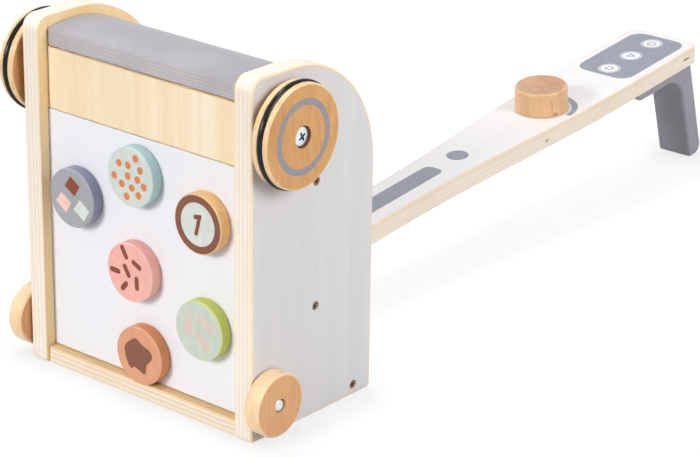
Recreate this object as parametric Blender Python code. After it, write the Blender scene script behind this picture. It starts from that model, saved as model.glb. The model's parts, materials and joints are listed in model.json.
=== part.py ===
"""Wooden toy vacuum cleaner: a box head on four wheels, a hinged handle and six magnetic discs.

Metres, +Z up. The box stands on its end, its magnetic face looks along -Y, and the handle lies back
along +Y with its grip on the floor. The origin is the middle of the box's underside. Setbacks and recesses
run back from the panels' front edges, drops run down from their tops, and heights run up from the floor.
"""

import math

import bmesh
import bpy
from mathutils import Matrix, Vector

# Shared fits and edges
SEAT_GAP = 0.0003
RUNNING_GAP = 0.0003
EASED_EDGE = 0.0012
EASED_SEGMENTS = 1
HEAD_EASE = 0.0006

# Box: side panels with boards between them
BOX_WIDTH = 0.207
BOX_DEPTH = 0.121
BOX_HEIGHT = 0.2503
PANEL_THICKNESS = 0.015
PANEL_FRONT_RADIUS = 0.010
PANEL_REAR_RADIUS = 0.0835
PANEL_FOOT_RADIUS = 0.003
BOTTOM_THICKNESS = 0.0118
BOTTOM_REAR_SETBACK = 0.004
BOTTOM_FRONT_SETBACK = 0.0022
FACE_RECESS = 0.0086
FACE_THICKNESS = 0.005
FACE_GROOVE_DEPTH = 0.004
BACKING_THICKNESS = 0.001
BACKING_MARGIN = 0.006
RAIL_HEIGHT = 0.0435
RAIL_THICKNESS = 0.015
PARTITION_SETBACK = 0.0555
PARTITION_THICKNESS = 0.015

# Curved cover: two arcs that meet at its crown
COVER_DROP = 0.0055
COVER_THICKNESS = 0.012
COVER_CROWN_SETBACK = 0.034
COVER_FRONT_RADIUS = 0.115
COVER_REAR_RADIUS = 0.0756
COVER_SIDE_GAP = 0.0008
COVER_EDGE = 0.003

# Screws through the side panels
PANEL_SCREW_DIAMETER = 0.004
PANEL_SCREW_HEAD_DIAMETER = 0.0058
PANEL_SCREW_HEAD_HEIGHT = 0.0024
PANEL_SCREW_SUNK = 0.0008
PANEL_SCREW_BITE = 0.025
UPPER_SCREW_DROP = 0.0838
LOWER_SCREW_HEIGHT = 0.0785
BOTTOM_SCREW_HEIGHT = 0.0072
BOTTOM_SCREW_REAR_INSET = 0.014
BOTTOM_SCREW_FRONT_INSET = 0.034

# Large wheels with rubber tyres
LARGE_WHEEL_RADIUS = 0.0351
LARGE_WHEEL_WIDTH = 0.0132
LARGE_WHEEL_SETBACK = 0.0292
LARGE_WHEEL_DROP = 0.0403
LARGE_WHEEL_STANDOFF = 0.0042
TYRE_SECTION = 0.005
TYRE_PROUD = 0.0014
TYRE_SETBACK = 0.0058
WHEEL_SCREW_DIAMETER = 0.006
WHEEL_SCREW_HEAD_DIAMETER = 0.012
WHEEL_SCREW_HEAD_HEIGHT = 0.0028
WHEEL_SCREW_HEAD_CLEARANCE = 0.00125
WHEEL_SCREW_SUNK = 0.0018
WHEEL_SCREW_TIP_WALL = 0.0015
SPACER_DIAMETER = 0.014
CROSS_LENGTH = 0.0062
CROSS_WIDTH = 0.0014
CROSS_DEPTH = 0.0016

# Small wheels
SMALL_WHEEL_RADIUS = 0.0222
SMALL_WHEEL_WIDTH = 0.0125
SMALL_WHEEL_SETBACK = 0.0130
SMALL_WHEEL_HEIGHT = 0.0278
SMALL_WHEEL_STANDOFF = 0.0012
PIN_DIAMETER = 0.006
PIN_HEAD_DIAMETER = 0.0086
PIN_HEAD_HEIGHT = 0.003
PIN_HEAD_CLEARANCE = 0.0005
PIN_SUNK = 0.0005
PIN_TIP_WALL = 0.0015
WASHER_DIAMETER = 0.014
WHEEL_EDGE = 0.0018

# Handle hinge behind the partition
PIVOT_STANDOFF = 0.0297
PIVOT_HEIGHT = 0.0459
PIVOT_DOWEL_DIAMETER = 0.008
CHEEK_THICKNESS = 0.015
CHEEK_HEIGHT = 0.036
CHEEK_SIDE_GAP = 0.0005
CHEEK_SCREW_DIAMETER = 0.004
CHEEK_SCREW_HEAD_DIAMETER = 0.008
CHEEK_SCREW_HEAD_HEIGHT = 0.003
CHEEK_SCREW_BITE = 0.017
CHEEK_SCREW_PITCH = 0.020

# Handle board, measured along it from the hinge
HANDLE_LENGTH = 0.534
HANDLE_TAIL = 0.016
HANDLE_THICKNESS = 0.015
HANDLE_NECK_WIDTH = 0.0426
HANDLE_HEAD_WIDTH = 0.0662
HANDLE_NECK_LENGTH = 0.165
HANDLE_HEAD_LENGTH = 0.106
HANDLE_CORNER_RADIUS = 0.010
HANDLE_TAIL_RADIUS = 0.005
FLARE_STEPS = 10

# Dial knob
KNOB_SETBACK = 0.1755
KNOB_BASE_RADIUS = 0.0214
KNOB_TOP_RADIUS = 0.0207
KNOB_HEIGHT = 0.0193
KNOB_EDGE = 0.002
KNOB_SCREW_DIAMETER = 0.005
KNOB_SCREW_HEAD_DIAMETER = 0.0085
KNOB_SCREW_HEAD_HEIGHT = 0.0025
KNOB_SCREW_SUNK = 0.003
KNOB_CROWN = 0.0057

# Grip under the handle's end
GRIP_WIDTH = 0.032
GRIP_FOOT_LENGTH = 0.077
GRIP_FOOT_THICKNESS = 0.019
GRIP_OVERHANG = 0.0125
GRIP_LEG_LENGTH = 0.0984
GRIP_LEG_THICKNESS = 0.0172
GRIP_LEAN = 10.5
GRIP_FILLET = 0.022
GRIP_SHOULDER_RADIUS = 0.010
GRIP_HEEL_RADIUS = 0.008
GRIP_TOE_RADIUS = 0.003
GRIP_NOSE_RADIUS = 0.008
GRIP_EDGE = 0.002
GRIP_SCREW_DIAMETER = 0.004
GRIP_SCREW_HEAD_DIAMETER = 0.0075
GRIP_SCREW_HEAD_HEIGHT = 0.0025
GRIP_SCREW_SUNK = 0.003
GRIP_SCREW_TIP_WALL = 0.005
GRIP_SCREW_SETBACK = 0.013
GRIP_SCREW_PITCH = 0.022

# Magnetic discs on the face
DISC_RADIUS = 0.0208
DISC_THICKNESS = 0.0092
DISC_EDGE = 0.0016
MAGNET_RADIUS = 0.0075
MAGNET_THICKNESS = 0.003

# Disc middles: across from the box's middle plane, or in from a panel, and up from the bottom board
DISC_RIGHT_INSET = 0.0310
DISC_LEFT_INSET = 0.0296
DISC_PLACES = {
    "tiles": ("left", DISC_LEFT_INSET, 0.1189),
    "dots": ("middle", -0.0033, 0.1480),
    "coin": ("right", DISC_RIGHT_INSET, 0.1310),
    "sprinkles": ("middle", -0.0052, 0.0798),
    "clips": ("right", DISC_RIGHT_INSET, 0.0560),
    "splat": ("middle", 0.0022, DISC_RADIUS + SEAT_GAP),
}

# Facets
LARGE_FACETS = 36
SMALL_FACETS = 30
PIN_FACETS = 18
SCREW_FACETS = 12
ARC_STEPS = 3
ARC_SAG = 0.0003
SHARP_ANGLE = math.radians(35.0)

# Colours (linear RGB), roughness and metallic value
BARE_PLY = ((0.78, 0.64, 0.44), 0.55, 0.0)
BEECH = ((0.66, 0.38, 0.17), 0.40, 0.0)
PALE_GREY_PAINT = ((0.68, 0.66, 0.66), 0.50, 0.0)
WHITE_PAINT = ((0.87, 0.86, 0.88), 0.45, 0.0)
VIOLET_GREY_PAINT = ((0.43, 0.42, 0.48), 0.45, 0.0)
GRIP_PAINT = ((0.26, 0.25, 0.30), 0.45, 0.0)
BLACK_RUBBER = ((0.012, 0.010, 0.010), 0.35, 0.0)
STEEL = ((0.70, 0.70, 0.72), 0.28, 1.0)
BRONZE_STEEL = ((0.42, 0.30, 0.18), 0.35, 1.0)
MAGNET = ((0.30, 0.30, 0.31), 0.35, 1.0)
DISC_PAINTS = {
    "tiles": ((0.22, 0.23, 0.30), 0.45, 0.0),
    "dots": ((0.42, 0.62, 0.56), 0.45, 0.0),
    "coin": ((0.66, 0.42, 0.20), 0.45, 0.0),
    "sprinkles": ((0.84, 0.36, 0.32), 0.45, 0.0),
    "clips": ((0.42, 0.62, 0.36), 0.45, 0.0),
    "splat": ((0.46, 0.22, 0.09), 0.45, 0.0),
}

# Derived places
PANEL_X = BOX_WIDTH / 2.0
INNER_X = PANEL_X - PANEL_THICKNESS
COVER_TOP = BOX_HEIGHT - COVER_DROP
BACKING_Y = FACE_RECESS + FACE_THICKNESS + SEAT_GAP
PARTITION_REAR = PARTITION_SETBACK + PARTITION_THICKNESS
FACE_BOTTOM = BOTTOM_THICKNESS + SEAT_GAP
PIVOT_Y = PARTITION_REAR + PIVOT_STANDOFF
HANDLE_TOP = HANDLE_THICKNESS / 2.0
KNOB_Y = HANDLE_LENGTH - KNOB_SETBACK
KNOB_BITE = KNOB_HEIGHT - KNOB_CROWN
GRIP_BACK_Y = HANDLE_LENGTH + GRIP_OVERHANG
GRIP_NOSE_Y = GRIP_BACK_Y - GRIP_FOOT_LENGTH
CHEEK_X = HANDLE_NECK_WIDTH / 2.0 + CHEEK_SIDE_GAP
LARGE_WHEEL_Z = BOX_HEIGHT - LARGE_WHEEL_DROP
WHEEL_SCREW_BITE = PANEL_THICKNESS - WHEEL_SCREW_TIP_WALL
PIN_BITE = PANEL_THICKNESS - FACE_GROOVE_DEPTH - PIN_TIP_WALL

# Turned bodies have their axis along local X
ALONG_X = Matrix.Identity(4)
AGAINST_X = Matrix.Rotation(math.pi, 4, "Z")
ALONG_Y = Matrix.Rotation(math.pi / 2.0, 4, "Z")
AGAINST_Y = Matrix.Rotation(-math.pi / 2.0, 4, "Z")
ALONG_Z = Matrix.Rotation(-math.pi / 2.0, 4, "Y")
# Flat outlines (u, v) lie in YZ and are drawn out along X, or lie in XY and are drawn out along Z
DRAWN_ALONG_Z = Matrix(((0, 1, 0, 0), (0, 0, 1, 0), (1, 0, 0, 0), (0, 0, 0, 1)))


def clear_scene():
    for scene_object in list(bpy.data.objects):
        bpy.data.objects.remove(scene_object, do_unlink=True)


def add_empty(name, location, parent=None, tilt=0.0):
    empty = bpy.data.objects.new(name, None)
    empty.parent = parent
    empty.location = location
    empty.rotation_euler = (tilt, 0.0, 0.0)
    bpy.context.scene.collection.objects.link(empty)
    return empty


def add_material(name, finish):
    colour, roughness, metallic = finish
    material = bpy.data.materials.new(name)
    material.use_nodes = True
    shader = material.node_tree.nodes["Principled BSDF"]
    shader.inputs["Base Color"].default_value = (*colour, 1.0)
    shader.inputs["Roughness"].default_value = roughness
    shader.inputs["Metallic"].default_value = metallic
    return material


def add_mesh(name, shape, finish):
    """Makes a smooth-shaded mesh from a bmesh. A finish of None leaves out the material."""
    bmesh.ops.recalc_face_normals(shape, faces=shape.faces)
    mesh = bpy.data.meshes.new(name)
    shape.to_mesh(mesh)
    shape.free()
    mesh.shade_smooth()
    mesh.set_sharp_from_angle(angle=SHARP_ANGLE)
    if finish is not None:
        mesh.materials.append(add_material(name, finish))
    return mesh


def add_copy(name, mesh, parent, place=Matrix.Identity(4)):
    """Makes a named object that shows a mesh, placed in its parent's frame."""
    piece = bpy.data.objects.new(name, mesh)
    piece.parent = parent
    piece.matrix_basis = place
    bpy.context.scene.collection.objects.link(piece)
    return piece


def add_object(name, shape, finish, parent, place=Matrix.Identity(4)):
    return add_copy(name, add_mesh(name, shape, finish), parent, place)


def add_cutter(name, shape, parent):
    cutter = add_object(name, shape, None, parent)
    cutter.hide_render = True
    cutter.display_type = "WIRE"
    return cutter


def ease_edges(piece, width):
    bevel = piece.modifiers.new("eased edges", "BEVEL")
    bevel.width = width
    bevel.segments = EASED_SEGMENTS
    bevel.limit_method = "ANGLE"
    bevel.angle_limit = SHARP_ANGLE


def cut(piece, *cutters):
    for cutter in cutters:
        boolean = piece.modifiers.new("cut", "BOOLEAN")
        boolean.operation = "DIFFERENCE"
        boolean.object = cutter


def arc_steps(radius, sweep):
    """Chords of an arc over a sweep in degrees: a least number a quarter turn, more where they sag."""
    widest = 2.0 * math.degrees(math.acos(1.0 - min(ARC_SAG / radius, 1.0)))
    return max(1, round(ARC_STEPS * abs(sweep) / 90.0), math.ceil(abs(sweep) / widest))


def rounded_outline(corners):
    """Points of a polygon whose corners (u, v, radius) are turned into arcs."""
    points = []
    for index, (u, v, radius) in enumerate(corners):
        if radius == 0.0:
            points.append((u, v))
            continue
        corner = Vector((u, v))
        before = Vector(corners[index - 1][:2]) - corner
        after = Vector(corners[(index + 1) % len(corners)][:2]) - corner
        before.normalize()
        after.normalize()
        half = before.angle(after) / 2.0
        middle = corner + (before + after).normalized() * (radius / math.sin(half))
        first = corner + before * (radius / math.tan(half)) - middle
        sweep = first.angle_signed(corner + after * (radius / math.tan(half)) - middle)
        steps = arc_steps(radius, math.degrees(sweep))
        for step in range(steps + 1):
            arm = first.copy()
            arm.rotate(Matrix.Rotation(-sweep * step / steps, 2))
            points.append(tuple(middle + arm))
    return points


def arc(middle, radius, start, end):
    """Points (u, v) of an arc, its angles in degrees from +u towards +v."""
    points = []
    steps = arc_steps(radius, end - start)
    for step in range(steps + 1):
        angle = math.radians(start + (end - start) * step / steps)
        points.append((middle[0] + radius * math.cos(angle), middle[1] + radius * math.sin(angle)))
    return points


def add_prism(shape, outline, low, high, place=ALONG_X):
    """Draws an outline (u, v) in local YZ out along local X from low to high."""
    ends = []
    for along in (low, high):
        ends.append([shape.verts.new(place @ Vector((along, u, v))) for u, v in outline])
    count = len(outline)
    for index in range(count):
        following = (index + 1) % count
        shape.faces.new((ends[0][index], ends[0][following], ends[1][following], ends[1][index]))
    for end in ends:
        shape.faces.new(end)


def add_box(shape, low, high):
    outline = [(low[1], low[2]), (high[1], low[2]), (high[1], high[2]), (low[1], high[2])]
    add_prism(shape, outline, low[0], high[0])


def add_turned(shape, profile, facets, place=ALONG_X):
    """Turns a profile of (along, radius) about local X.

    A profile that starts and ends on the axis is open, and any other is a closed section round a bore.
    """
    rings = []
    for along, radius in profile:
        if radius == 0.0:
            rings.append([shape.verts.new(place @ Vector((along, 0.0, 0.0)))])
            continue
        ring = []
        for facet in range(facets):
            angle = 2.0 * math.pi * facet / facets
            point = Vector((along, radius * math.cos(angle), radius * math.sin(angle)))
            ring.append(shape.verts.new(place @ point))
        rings.append(ring)
    strips = list(zip(rings, rings[1:]))
    if profile[0][1] > 0.0:
        strips.append((rings[-1], rings[0]))
    for first, second in strips:
        for facet in range(facets):
            following = (facet + 1) % facets
            corners = [first[facet % len(first)], first[following % len(first)]]
            corners += [second[following % len(second)], second[facet % len(second)]]
            shape.faces.new(list(dict.fromkeys(corners)))


def at(x, y, z, turn=ALONG_X):
    return Matrix.Translation((x, y, z)) @ turn


def sides():
    """Both sides of the box: name, sign of x and the turn that points local X into the box."""
    return (("left", -1.0, ALONG_X), ("right", 1.0, AGAINST_X))


def screw_profile(head_diameter, head_height, shank_diameter, length):
    """Countersunk screw from its head's top at 0 to its tip, which tapers over the last shank diameter."""
    shank = shank_diameter / 2.0
    return [
        (0.0, 0.0),
        (0.0, head_diameter / 2.0),
        (head_height, shank),
        (length - shank_diameter, shank),
        (length, 0.0),
    ]


def bolt_profile(head_diameter, head_height, shank_diameter, length):
    """Flat-headed bolt from its head's top at 0 to its flat end, with the head's rim eased."""
    head = head_diameter / 2.0
    shank = shank_diameter / 2.0
    return [
        (0.0, 0.0),
        (0.0, head - HEAD_EASE),
        (HEAD_EASE, head),
        (head_height, head),
        (head_height, shank),
        (length, shank),
        (length, 0.0),
    ]


def hole_profile(mouth, head_diameter, head_depth, shank_diameter, length):
    """Stepped hole for a screw: a counterbore from outside the surface, then the shank's hole."""
    head = head_diameter / 2.0 + SEAT_GAP
    shank = shank_diameter / 2.0 + SEAT_GAP
    return [
        (-mouth, 0.0),
        (-mouth, head),
        (head_depth, head),
        (head_depth, shank),
        (length + SEAT_GAP, shank),
        (length + SEAT_GAP, 0.0),
    ]


def ring_profile(standoff, diameter, bore_diameter):
    """Flat ring that fills a standoff round a shank."""
    outer = diameter / 2.0
    bore = bore_diameter / 2.0 + SEAT_GAP
    ends = (SEAT_GAP, standoff - SEAT_GAP)
    return [(ends[0], bore), (ends[0], outer), (ends[1], outer), (ends[1], bore)]


def cover_curve(offset):
    """Cover's outer curve drawn in by an offset, as (y, z) from front to rear over the crown."""
    front = COVER_FRONT_RADIUS - offset
    rear = COVER_REAR_RADIUS - offset
    front_angle = math.degrees(math.acos((FACE_RECESS - COVER_CROWN_SETBACK) / front))
    points = arc((COVER_CROWN_SETBACK, COVER_TOP - COVER_FRONT_RADIUS), front, front_angle, 90.0)
    points += arc((COVER_CROWN_SETBACK, COVER_TOP - COVER_REAR_RADIUS), rear, 90.0, 0.0)[1:]
    return points


def cover_underside(y):
    """Height of the cover's underside behind its crown."""
    inner = COVER_REAR_RADIUS - COVER_THICKNESS
    return COVER_TOP - COVER_REAR_RADIUS + math.sqrt(inner**2 - (y - COVER_CROWN_SETBACK) ** 2)


def rail_top():
    return cover_curve(COVER_THICKNESS)[0][1] - SEAT_GAP


def panel_screw_places():
    """Names and places (y, z) of the screws through each side panel."""
    partition_middle = PARTITION_SETBACK + PARTITION_THICKNESS / 2.0
    bottom_rear = BOX_DEPTH - BOTTOM_REAR_SETBACK
    return {
        "upper_partition_screw": (partition_middle, BOX_HEIGHT - UPPER_SCREW_DROP),
        "lower_partition_screw": (partition_middle, LOWER_SCREW_HEIGHT),
        "rear_bottom_screw": (bottom_rear - BOTTOM_SCREW_REAR_INSET, BOTTOM_SCREW_HEIGHT),
        "front_bottom_screw": (BOTTOM_SCREW_FRONT_INSET, BOTTOM_SCREW_HEIGHT),
        "rail_screw": (FACE_RECESS + RAIL_THICKNESS / 2.0, rail_top() - RAIL_HEIGHT / 2.0),
    }


def add_panel_screws(box):
    """Screws that hold the boards between the panels, and the cutter of their holes."""
    depth = PANEL_THICKNESS + PANEL_SCREW_BITE
    screw = bmesh.new()
    profile = screw_profile(
        PANEL_SCREW_HEAD_DIAMETER, PANEL_SCREW_HEAD_HEIGHT, PANEL_SCREW_DIAMETER, depth - PANEL_SCREW_SUNK
    )
    add_turned(screw, profile, SCREW_FACETS)
    screw = add_mesh("panel_screw", screw, BRONZE_STEEL)
    holes = bmesh.new()
    hole = hole_profile(
        PANEL_THICKNESS,
        PANEL_SCREW_HEAD_DIAMETER,
        PANEL_SCREW_SUNK + PANEL_SCREW_HEAD_HEIGHT,
        PANEL_SCREW_DIAMETER,
        depth,
    )
    for side, sign, inward in sides():
        for name, (y, z) in panel_screw_places().items():
            add_copy(f"{side}_{name}", screw, box, at(sign * (PANEL_X - PANEL_SCREW_SUNK), y, z, inward))
            add_turned(holes, hole, SCREW_FACETS, at(sign * PANEL_X, y, z, inward))
    return add_cutter("panel_screw_holes", holes, box)


def add_side_panels(box, screw_holes):
    outline = rounded_outline(
        [
            (0.0, 0.0, PANEL_FOOT_RADIUS),
            (BOX_DEPTH, 0.0, PANEL_FOOT_RADIUS),
            (BOX_DEPTH, BOX_HEIGHT, PANEL_REAR_RADIUS),
            (0.0, BOX_HEIGHT, PANEL_FRONT_RADIUS),
        ]
    )
    grooves = bmesh.new()
    axle_holes = bmesh.new()
    groove_bottom = FACE_BOTTOM - SEAT_GAP
    groove_top = rail_top() - RAIL_HEIGHT
    for name, sign, inward in sides():
        edges = sorted((sign * INNER_X, sign * PANEL_X))
        panel = bmesh.new()
        add_prism(panel, outline, edges[0], edges[1])
        panel = add_object(f"{name}_side_panel", panel, PALE_GREY_PAINT, box)
        ease_edges(panel, EASED_EDGE)
        groove = sorted((sign * (INNER_X - PANEL_THICKNESS), sign * (INNER_X + FACE_GROOVE_DEPTH)))
        add_box(
            grooves,
            (groove[0], FACE_RECESS - SEAT_GAP, groove_bottom),
            (groove[1], FACE_RECESS + FACE_THICKNESS + SEAT_GAP, groove_top),
        )
        for y, z, diameter, bite in (
            (LARGE_WHEEL_SETBACK, LARGE_WHEEL_Z, WHEEL_SCREW_DIAMETER, WHEEL_SCREW_BITE),
            (SMALL_WHEEL_SETBACK, SMALL_WHEEL_HEIGHT, PIN_DIAMETER, PIN_BITE),
        ):
            hole = diameter / 2.0 + SEAT_GAP
            depth = bite + SEAT_GAP
            profile = [(-PANEL_THICKNESS, 0.0), (-PANEL_THICKNESS, hole), (depth, hole), (depth, 0.0)]
            add_turned(axle_holes, profile, SCREW_FACETS, at(sign * PANEL_X, y, z, inward))
    groove_cutter = add_cutter("face_grooves", grooves, box)
    axle_cutter = add_cutter("axle_holes", axle_holes, box)
    for name, _, _ in sides():
        cut(bpy.data.objects[f"{name}_side_panel"], groove_cutter, axle_cutter, screw_holes)


def add_board(name, low, high, finish, box, *cutters):
    board = bmesh.new()
    add_box(board, low, high)
    board = add_object(name, board, finish, box)
    ease_edges(board, EASED_EDGE)
    cut(board, *cutters)


def add_boards(box, screw_holes, cheek_holes):
    """Flat boards between the side panels."""
    half = INNER_X - SEAT_GAP
    top = rail_top()
    rail_bottom = top - RAIL_HEIGHT
    add_board(
        "bottom_board",
        (-half, BOTTOM_FRONT_SETBACK, 0.0),
        (half, BOX_DEPTH - BOTTOM_REAR_SETBACK, BOTTOM_THICKNESS),
        BARE_PLY,
        box,
        screw_holes,
    )
    add_board(
        "front_rail",
        (-half, FACE_RECESS, rail_bottom),
        (half, FACE_RECESS + RAIL_THICKNESS, top),
        BARE_PLY,
        box,
        screw_holes,
    )
    add_board(
        "partition",
        (-half, PARTITION_SETBACK, FACE_BOTTOM),
        (half, PARTITION_REAR, cover_underside(PARTITION_REAR) - SEAT_GAP),
        BARE_PLY,
        box,
        screw_holes,
        cheek_holes,
    )


def add_magnetic_face(box):
    """White sheet held in the panels' grooves, with a steel plate behind it."""
    edge = INNER_X + FACE_GROOVE_DEPTH - SEAT_GAP
    top = rail_top() - RAIL_HEIGHT - SEAT_GAP
    face = bmesh.new()
    add_box(face, (-edge, FACE_RECESS, FACE_BOTTOM), (edge, FACE_RECESS + FACE_THICKNESS, top))
    add_object("magnetic_face", face, WHITE_PAINT, box)
    plate = bmesh.new()
    inner = INNER_X - BACKING_MARGIN
    add_box(
        plate,
        (-inner, BACKING_Y, FACE_BOTTOM + BACKING_MARGIN),
        (inner, BACKING_Y + BACKING_THICKNESS, top - BACKING_MARGIN),
    )
    add_object("backing_plate", plate, STEEL, box)


def add_cover(box):
    half = INNER_X - COVER_SIDE_GAP
    outline = cover_curve(0.0) + cover_curve(COVER_THICKNESS)[::-1]
    cover = bmesh.new()
    add_prism(cover, outline, -half, half)
    cover = add_object("curved_cover", cover, VIOLET_GREY_PAINT, box)
    ease_edges(cover, COVER_EDGE)


def eased_rim(along, radius, edge, sign):
    """Three points of a rim's rounding, from the outside at sign > 0 or from the face at sign < 0."""
    lean = edge * (1.0 - math.sqrt(0.5))
    points = [(along - edge, radius), (along - lean, radius - lean), (along, radius - edge)]
    return points if sign > 0 else [(2.0 * along - a, r) for a, r in reversed(points)]


def large_wheel_profile():
    """Section of the wheel from its inner face at 0, with the tyre's groove and a counterbore outside."""
    radius = LARGE_WHEEL_RADIUS
    width = LARGE_WHEEL_WIDTH
    bore = WHEEL_SCREW_DIAMETER / 2.0 + RUNNING_GAP
    groove = (width - TYRE_SETBACK, tyre_ring_radius())
    counterbore = WHEEL_SCREW_HEAD_DIAMETER / 2.0 + WHEEL_SCREW_HEAD_CLEARANCE
    floor = width - WHEEL_SCREW_SUNK - WHEEL_SCREW_HEAD_HEIGHT - SEAT_GAP
    profile = [(0.0, bore)] + eased_rim(0.0, radius, WHEEL_EDGE, -1.0)
    groove_width = TYRE_SECTION / 2.0 + SEAT_GAP
    profile += [(groove[0] - groove_width, radius)]
    profile += arc(groove, groove_width, 180.0, 360.0)
    profile += [(groove[0] + groove_width, radius)]
    profile += eased_rim(width, radius, WHEEL_EDGE, 1.0)
    return profile + [(width, counterbore), (floor, counterbore), (floor, bore)]


def tyre_ring_radius():
    """Radius of the tyre's middle line."""
    return LARGE_WHEEL_RADIUS + TYRE_PROUD - TYRE_SECTION / 2.0


def add_large_wheels(box):
    """Wooden wheels with rubber tyres, each on a screw with a spacer between it and the panel."""
    wheel = bmesh.new()
    add_turned(wheel, large_wheel_profile(), LARGE_FACETS)
    wheel = add_mesh("large_wheel", wheel, BEECH)
    tyre = bmesh.new()
    tyre_middle = (LARGE_WHEEL_WIDTH - TYRE_SETBACK, tyre_ring_radius())
    add_turned(tyre, arc(tyre_middle, TYRE_SECTION / 2.0, 0.0, 360.0)[:-1], LARGE_FACETS)
    tyre = add_mesh("tyre", tyre, BLACK_RUBBER)
    spacer = bmesh.new()
    add_turned(spacer, ring_profile(LARGE_WHEEL_STANDOFF, SPACER_DIAMETER, WHEEL_SCREW_DIAMETER), PIN_FACETS)
    spacer = add_mesh("spacer", spacer, STEEL)
    head = LARGE_WHEEL_STANDOFF + LARGE_WHEEL_WIDTH - WHEEL_SCREW_SUNK
    screw = bmesh.new()
    profile = bolt_profile(
        WHEEL_SCREW_HEAD_DIAMETER, WHEEL_SCREW_HEAD_HEIGHT, WHEEL_SCREW_DIAMETER, head + WHEEL_SCREW_BITE
    )
    add_turned(screw, profile, PIN_FACETS)
    screw = add_mesh("wheel_screw", screw, STEEL)
    crosses = bmesh.new()
    for _, sign, inward in sides():
        add_cross(crosses, at(sign * (PANEL_X + head), LARGE_WHEEL_SETBACK, LARGE_WHEEL_Z, inward))
    crosses = add_cutter("screw_crosses", crosses, box)
    for side, sign, inward in sides():
        outward = inward @ AGAINST_X
        seat = at(sign * PANEL_X, LARGE_WHEEL_SETBACK, LARGE_WHEEL_Z, outward)
        hub = at(sign * (PANEL_X + LARGE_WHEEL_STANDOFF), LARGE_WHEEL_SETBACK, LARGE_WHEEL_Z, outward)
        add_copy(f"{side}_large_wheel", wheel, box, hub)
        add_copy(f"{side}_tyre", tyre, box, hub)
        add_copy(f"{side}_large_wheel_spacer", spacer, box, seat)
        place = at(sign * (PANEL_X + head), LARGE_WHEEL_SETBACK, LARGE_WHEEL_Z, inward)
        cut(add_copy(f"{side}_large_wheel_screw", screw, box, place), crosses)


def add_cross(shape, place):
    """Cross recess of a screw head, sunk along local X from the head's top."""
    long = CROSS_LENGTH / 2.0
    wide = CROSS_WIDTH / 2.0
    outline = [(long, wide), (wide, wide), (wide, long), (-wide, long), (-wide, wide), (-long, wide)]
    outline += [(-u, -v) for u, v in outline]
    add_prism(shape, outline, -CROSS_DEPTH, CROSS_DEPTH, place)


def add_small_wheels(box):
    """Plain wooden wheels, each on a headed pin with a washer between it and the panel."""
    bore = PIN_DIAMETER / 2.0 + RUNNING_GAP
    counterbore = PIN_HEAD_DIAMETER / 2.0 + PIN_HEAD_CLEARANCE
    floor = SMALL_WHEEL_WIDTH - PIN_SUNK - PIN_HEAD_HEIGHT - SEAT_GAP
    profile = [(0.0, bore)] + eased_rim(0.0, SMALL_WHEEL_RADIUS, WHEEL_EDGE, -1.0)
    profile += eased_rim(SMALL_WHEEL_WIDTH, SMALL_WHEEL_RADIUS, WHEEL_EDGE, 1.0)
    profile += [(SMALL_WHEEL_WIDTH, counterbore), (floor, counterbore), (floor, bore)]
    wheel = bmesh.new()
    add_turned(wheel, profile, SMALL_FACETS)
    wheel = add_mesh("small_wheel", wheel, BEECH)
    washer = bmesh.new()
    add_turned(washer, ring_profile(SMALL_WHEEL_STANDOFF, WASHER_DIAMETER, PIN_DIAMETER), PIN_FACETS)
    washer = add_mesh("washer", washer, STEEL)
    head = SMALL_WHEEL_STANDOFF + SMALL_WHEEL_WIDTH - PIN_SUNK
    pin = bmesh.new()
    pin_profile = bolt_profile(PIN_HEAD_DIAMETER, PIN_HEAD_HEIGHT, PIN_DIAMETER, head + PIN_BITE)
    add_turned(pin, pin_profile, PIN_FACETS)
    pin = add_mesh("wheel_pin", pin, STEEL)
    for side, sign, inward in sides():
        outward = inward @ AGAINST_X
        seat = at(sign * PANEL_X, SMALL_WHEEL_SETBACK, SMALL_WHEEL_HEIGHT, outward)
        hub = at(sign * (PANEL_X + SMALL_WHEEL_STANDOFF), SMALL_WHEEL_SETBACK, SMALL_WHEEL_HEIGHT, outward)
        place = at(sign * (PANEL_X + head), SMALL_WHEEL_SETBACK, SMALL_WHEEL_HEIGHT, inward)
        add_copy(f"{side}_small_wheel", wheel, box, hub)
        add_copy(f"{side}_small_wheel_washer", washer, box, seat)
        add_copy(f"{side}_small_wheel_pin", pin, box, place)


def add_cheek_screws(box):
    """Screws from the partition's front into the cheeks, and the cutter of their holes."""
    length = PARTITION_THICKNESS + CHEEK_SCREW_BITE
    screw = bmesh.new()
    profile = screw_profile(
        CHEEK_SCREW_HEAD_DIAMETER, CHEEK_SCREW_HEAD_HEIGHT, CHEEK_SCREW_DIAMETER, length
    )
    add_turned(screw, profile, SCREW_FACETS)
    screw = add_mesh("cheek_screw", screw, BRONZE_STEEL)
    holes = bmesh.new()
    hole = hole_profile(
        PARTITION_THICKNESS,
        CHEEK_SCREW_HEAD_DIAMETER,
        CHEEK_SCREW_HEAD_HEIGHT + SEAT_GAP,
        CHEEK_SCREW_DIAMETER,
        length,
    )
    for side, sign, _ in sides():
        for name, step in (("lower", -0.5), ("upper", 0.5)):
            x = sign * (CHEEK_X + CHEEK_THICKNESS / 2.0)
            place = at(x, PARTITION_SETBACK, PIVOT_HEIGHT + step * CHEEK_SCREW_PITCH, ALONG_Y)
            add_copy(f"{side}_{name}_cheek_screw", screw, box, place)
            add_turned(holes, hole, SCREW_FACETS, place)
    return add_cutter("cheek_screw_holes", holes, box)


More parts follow.
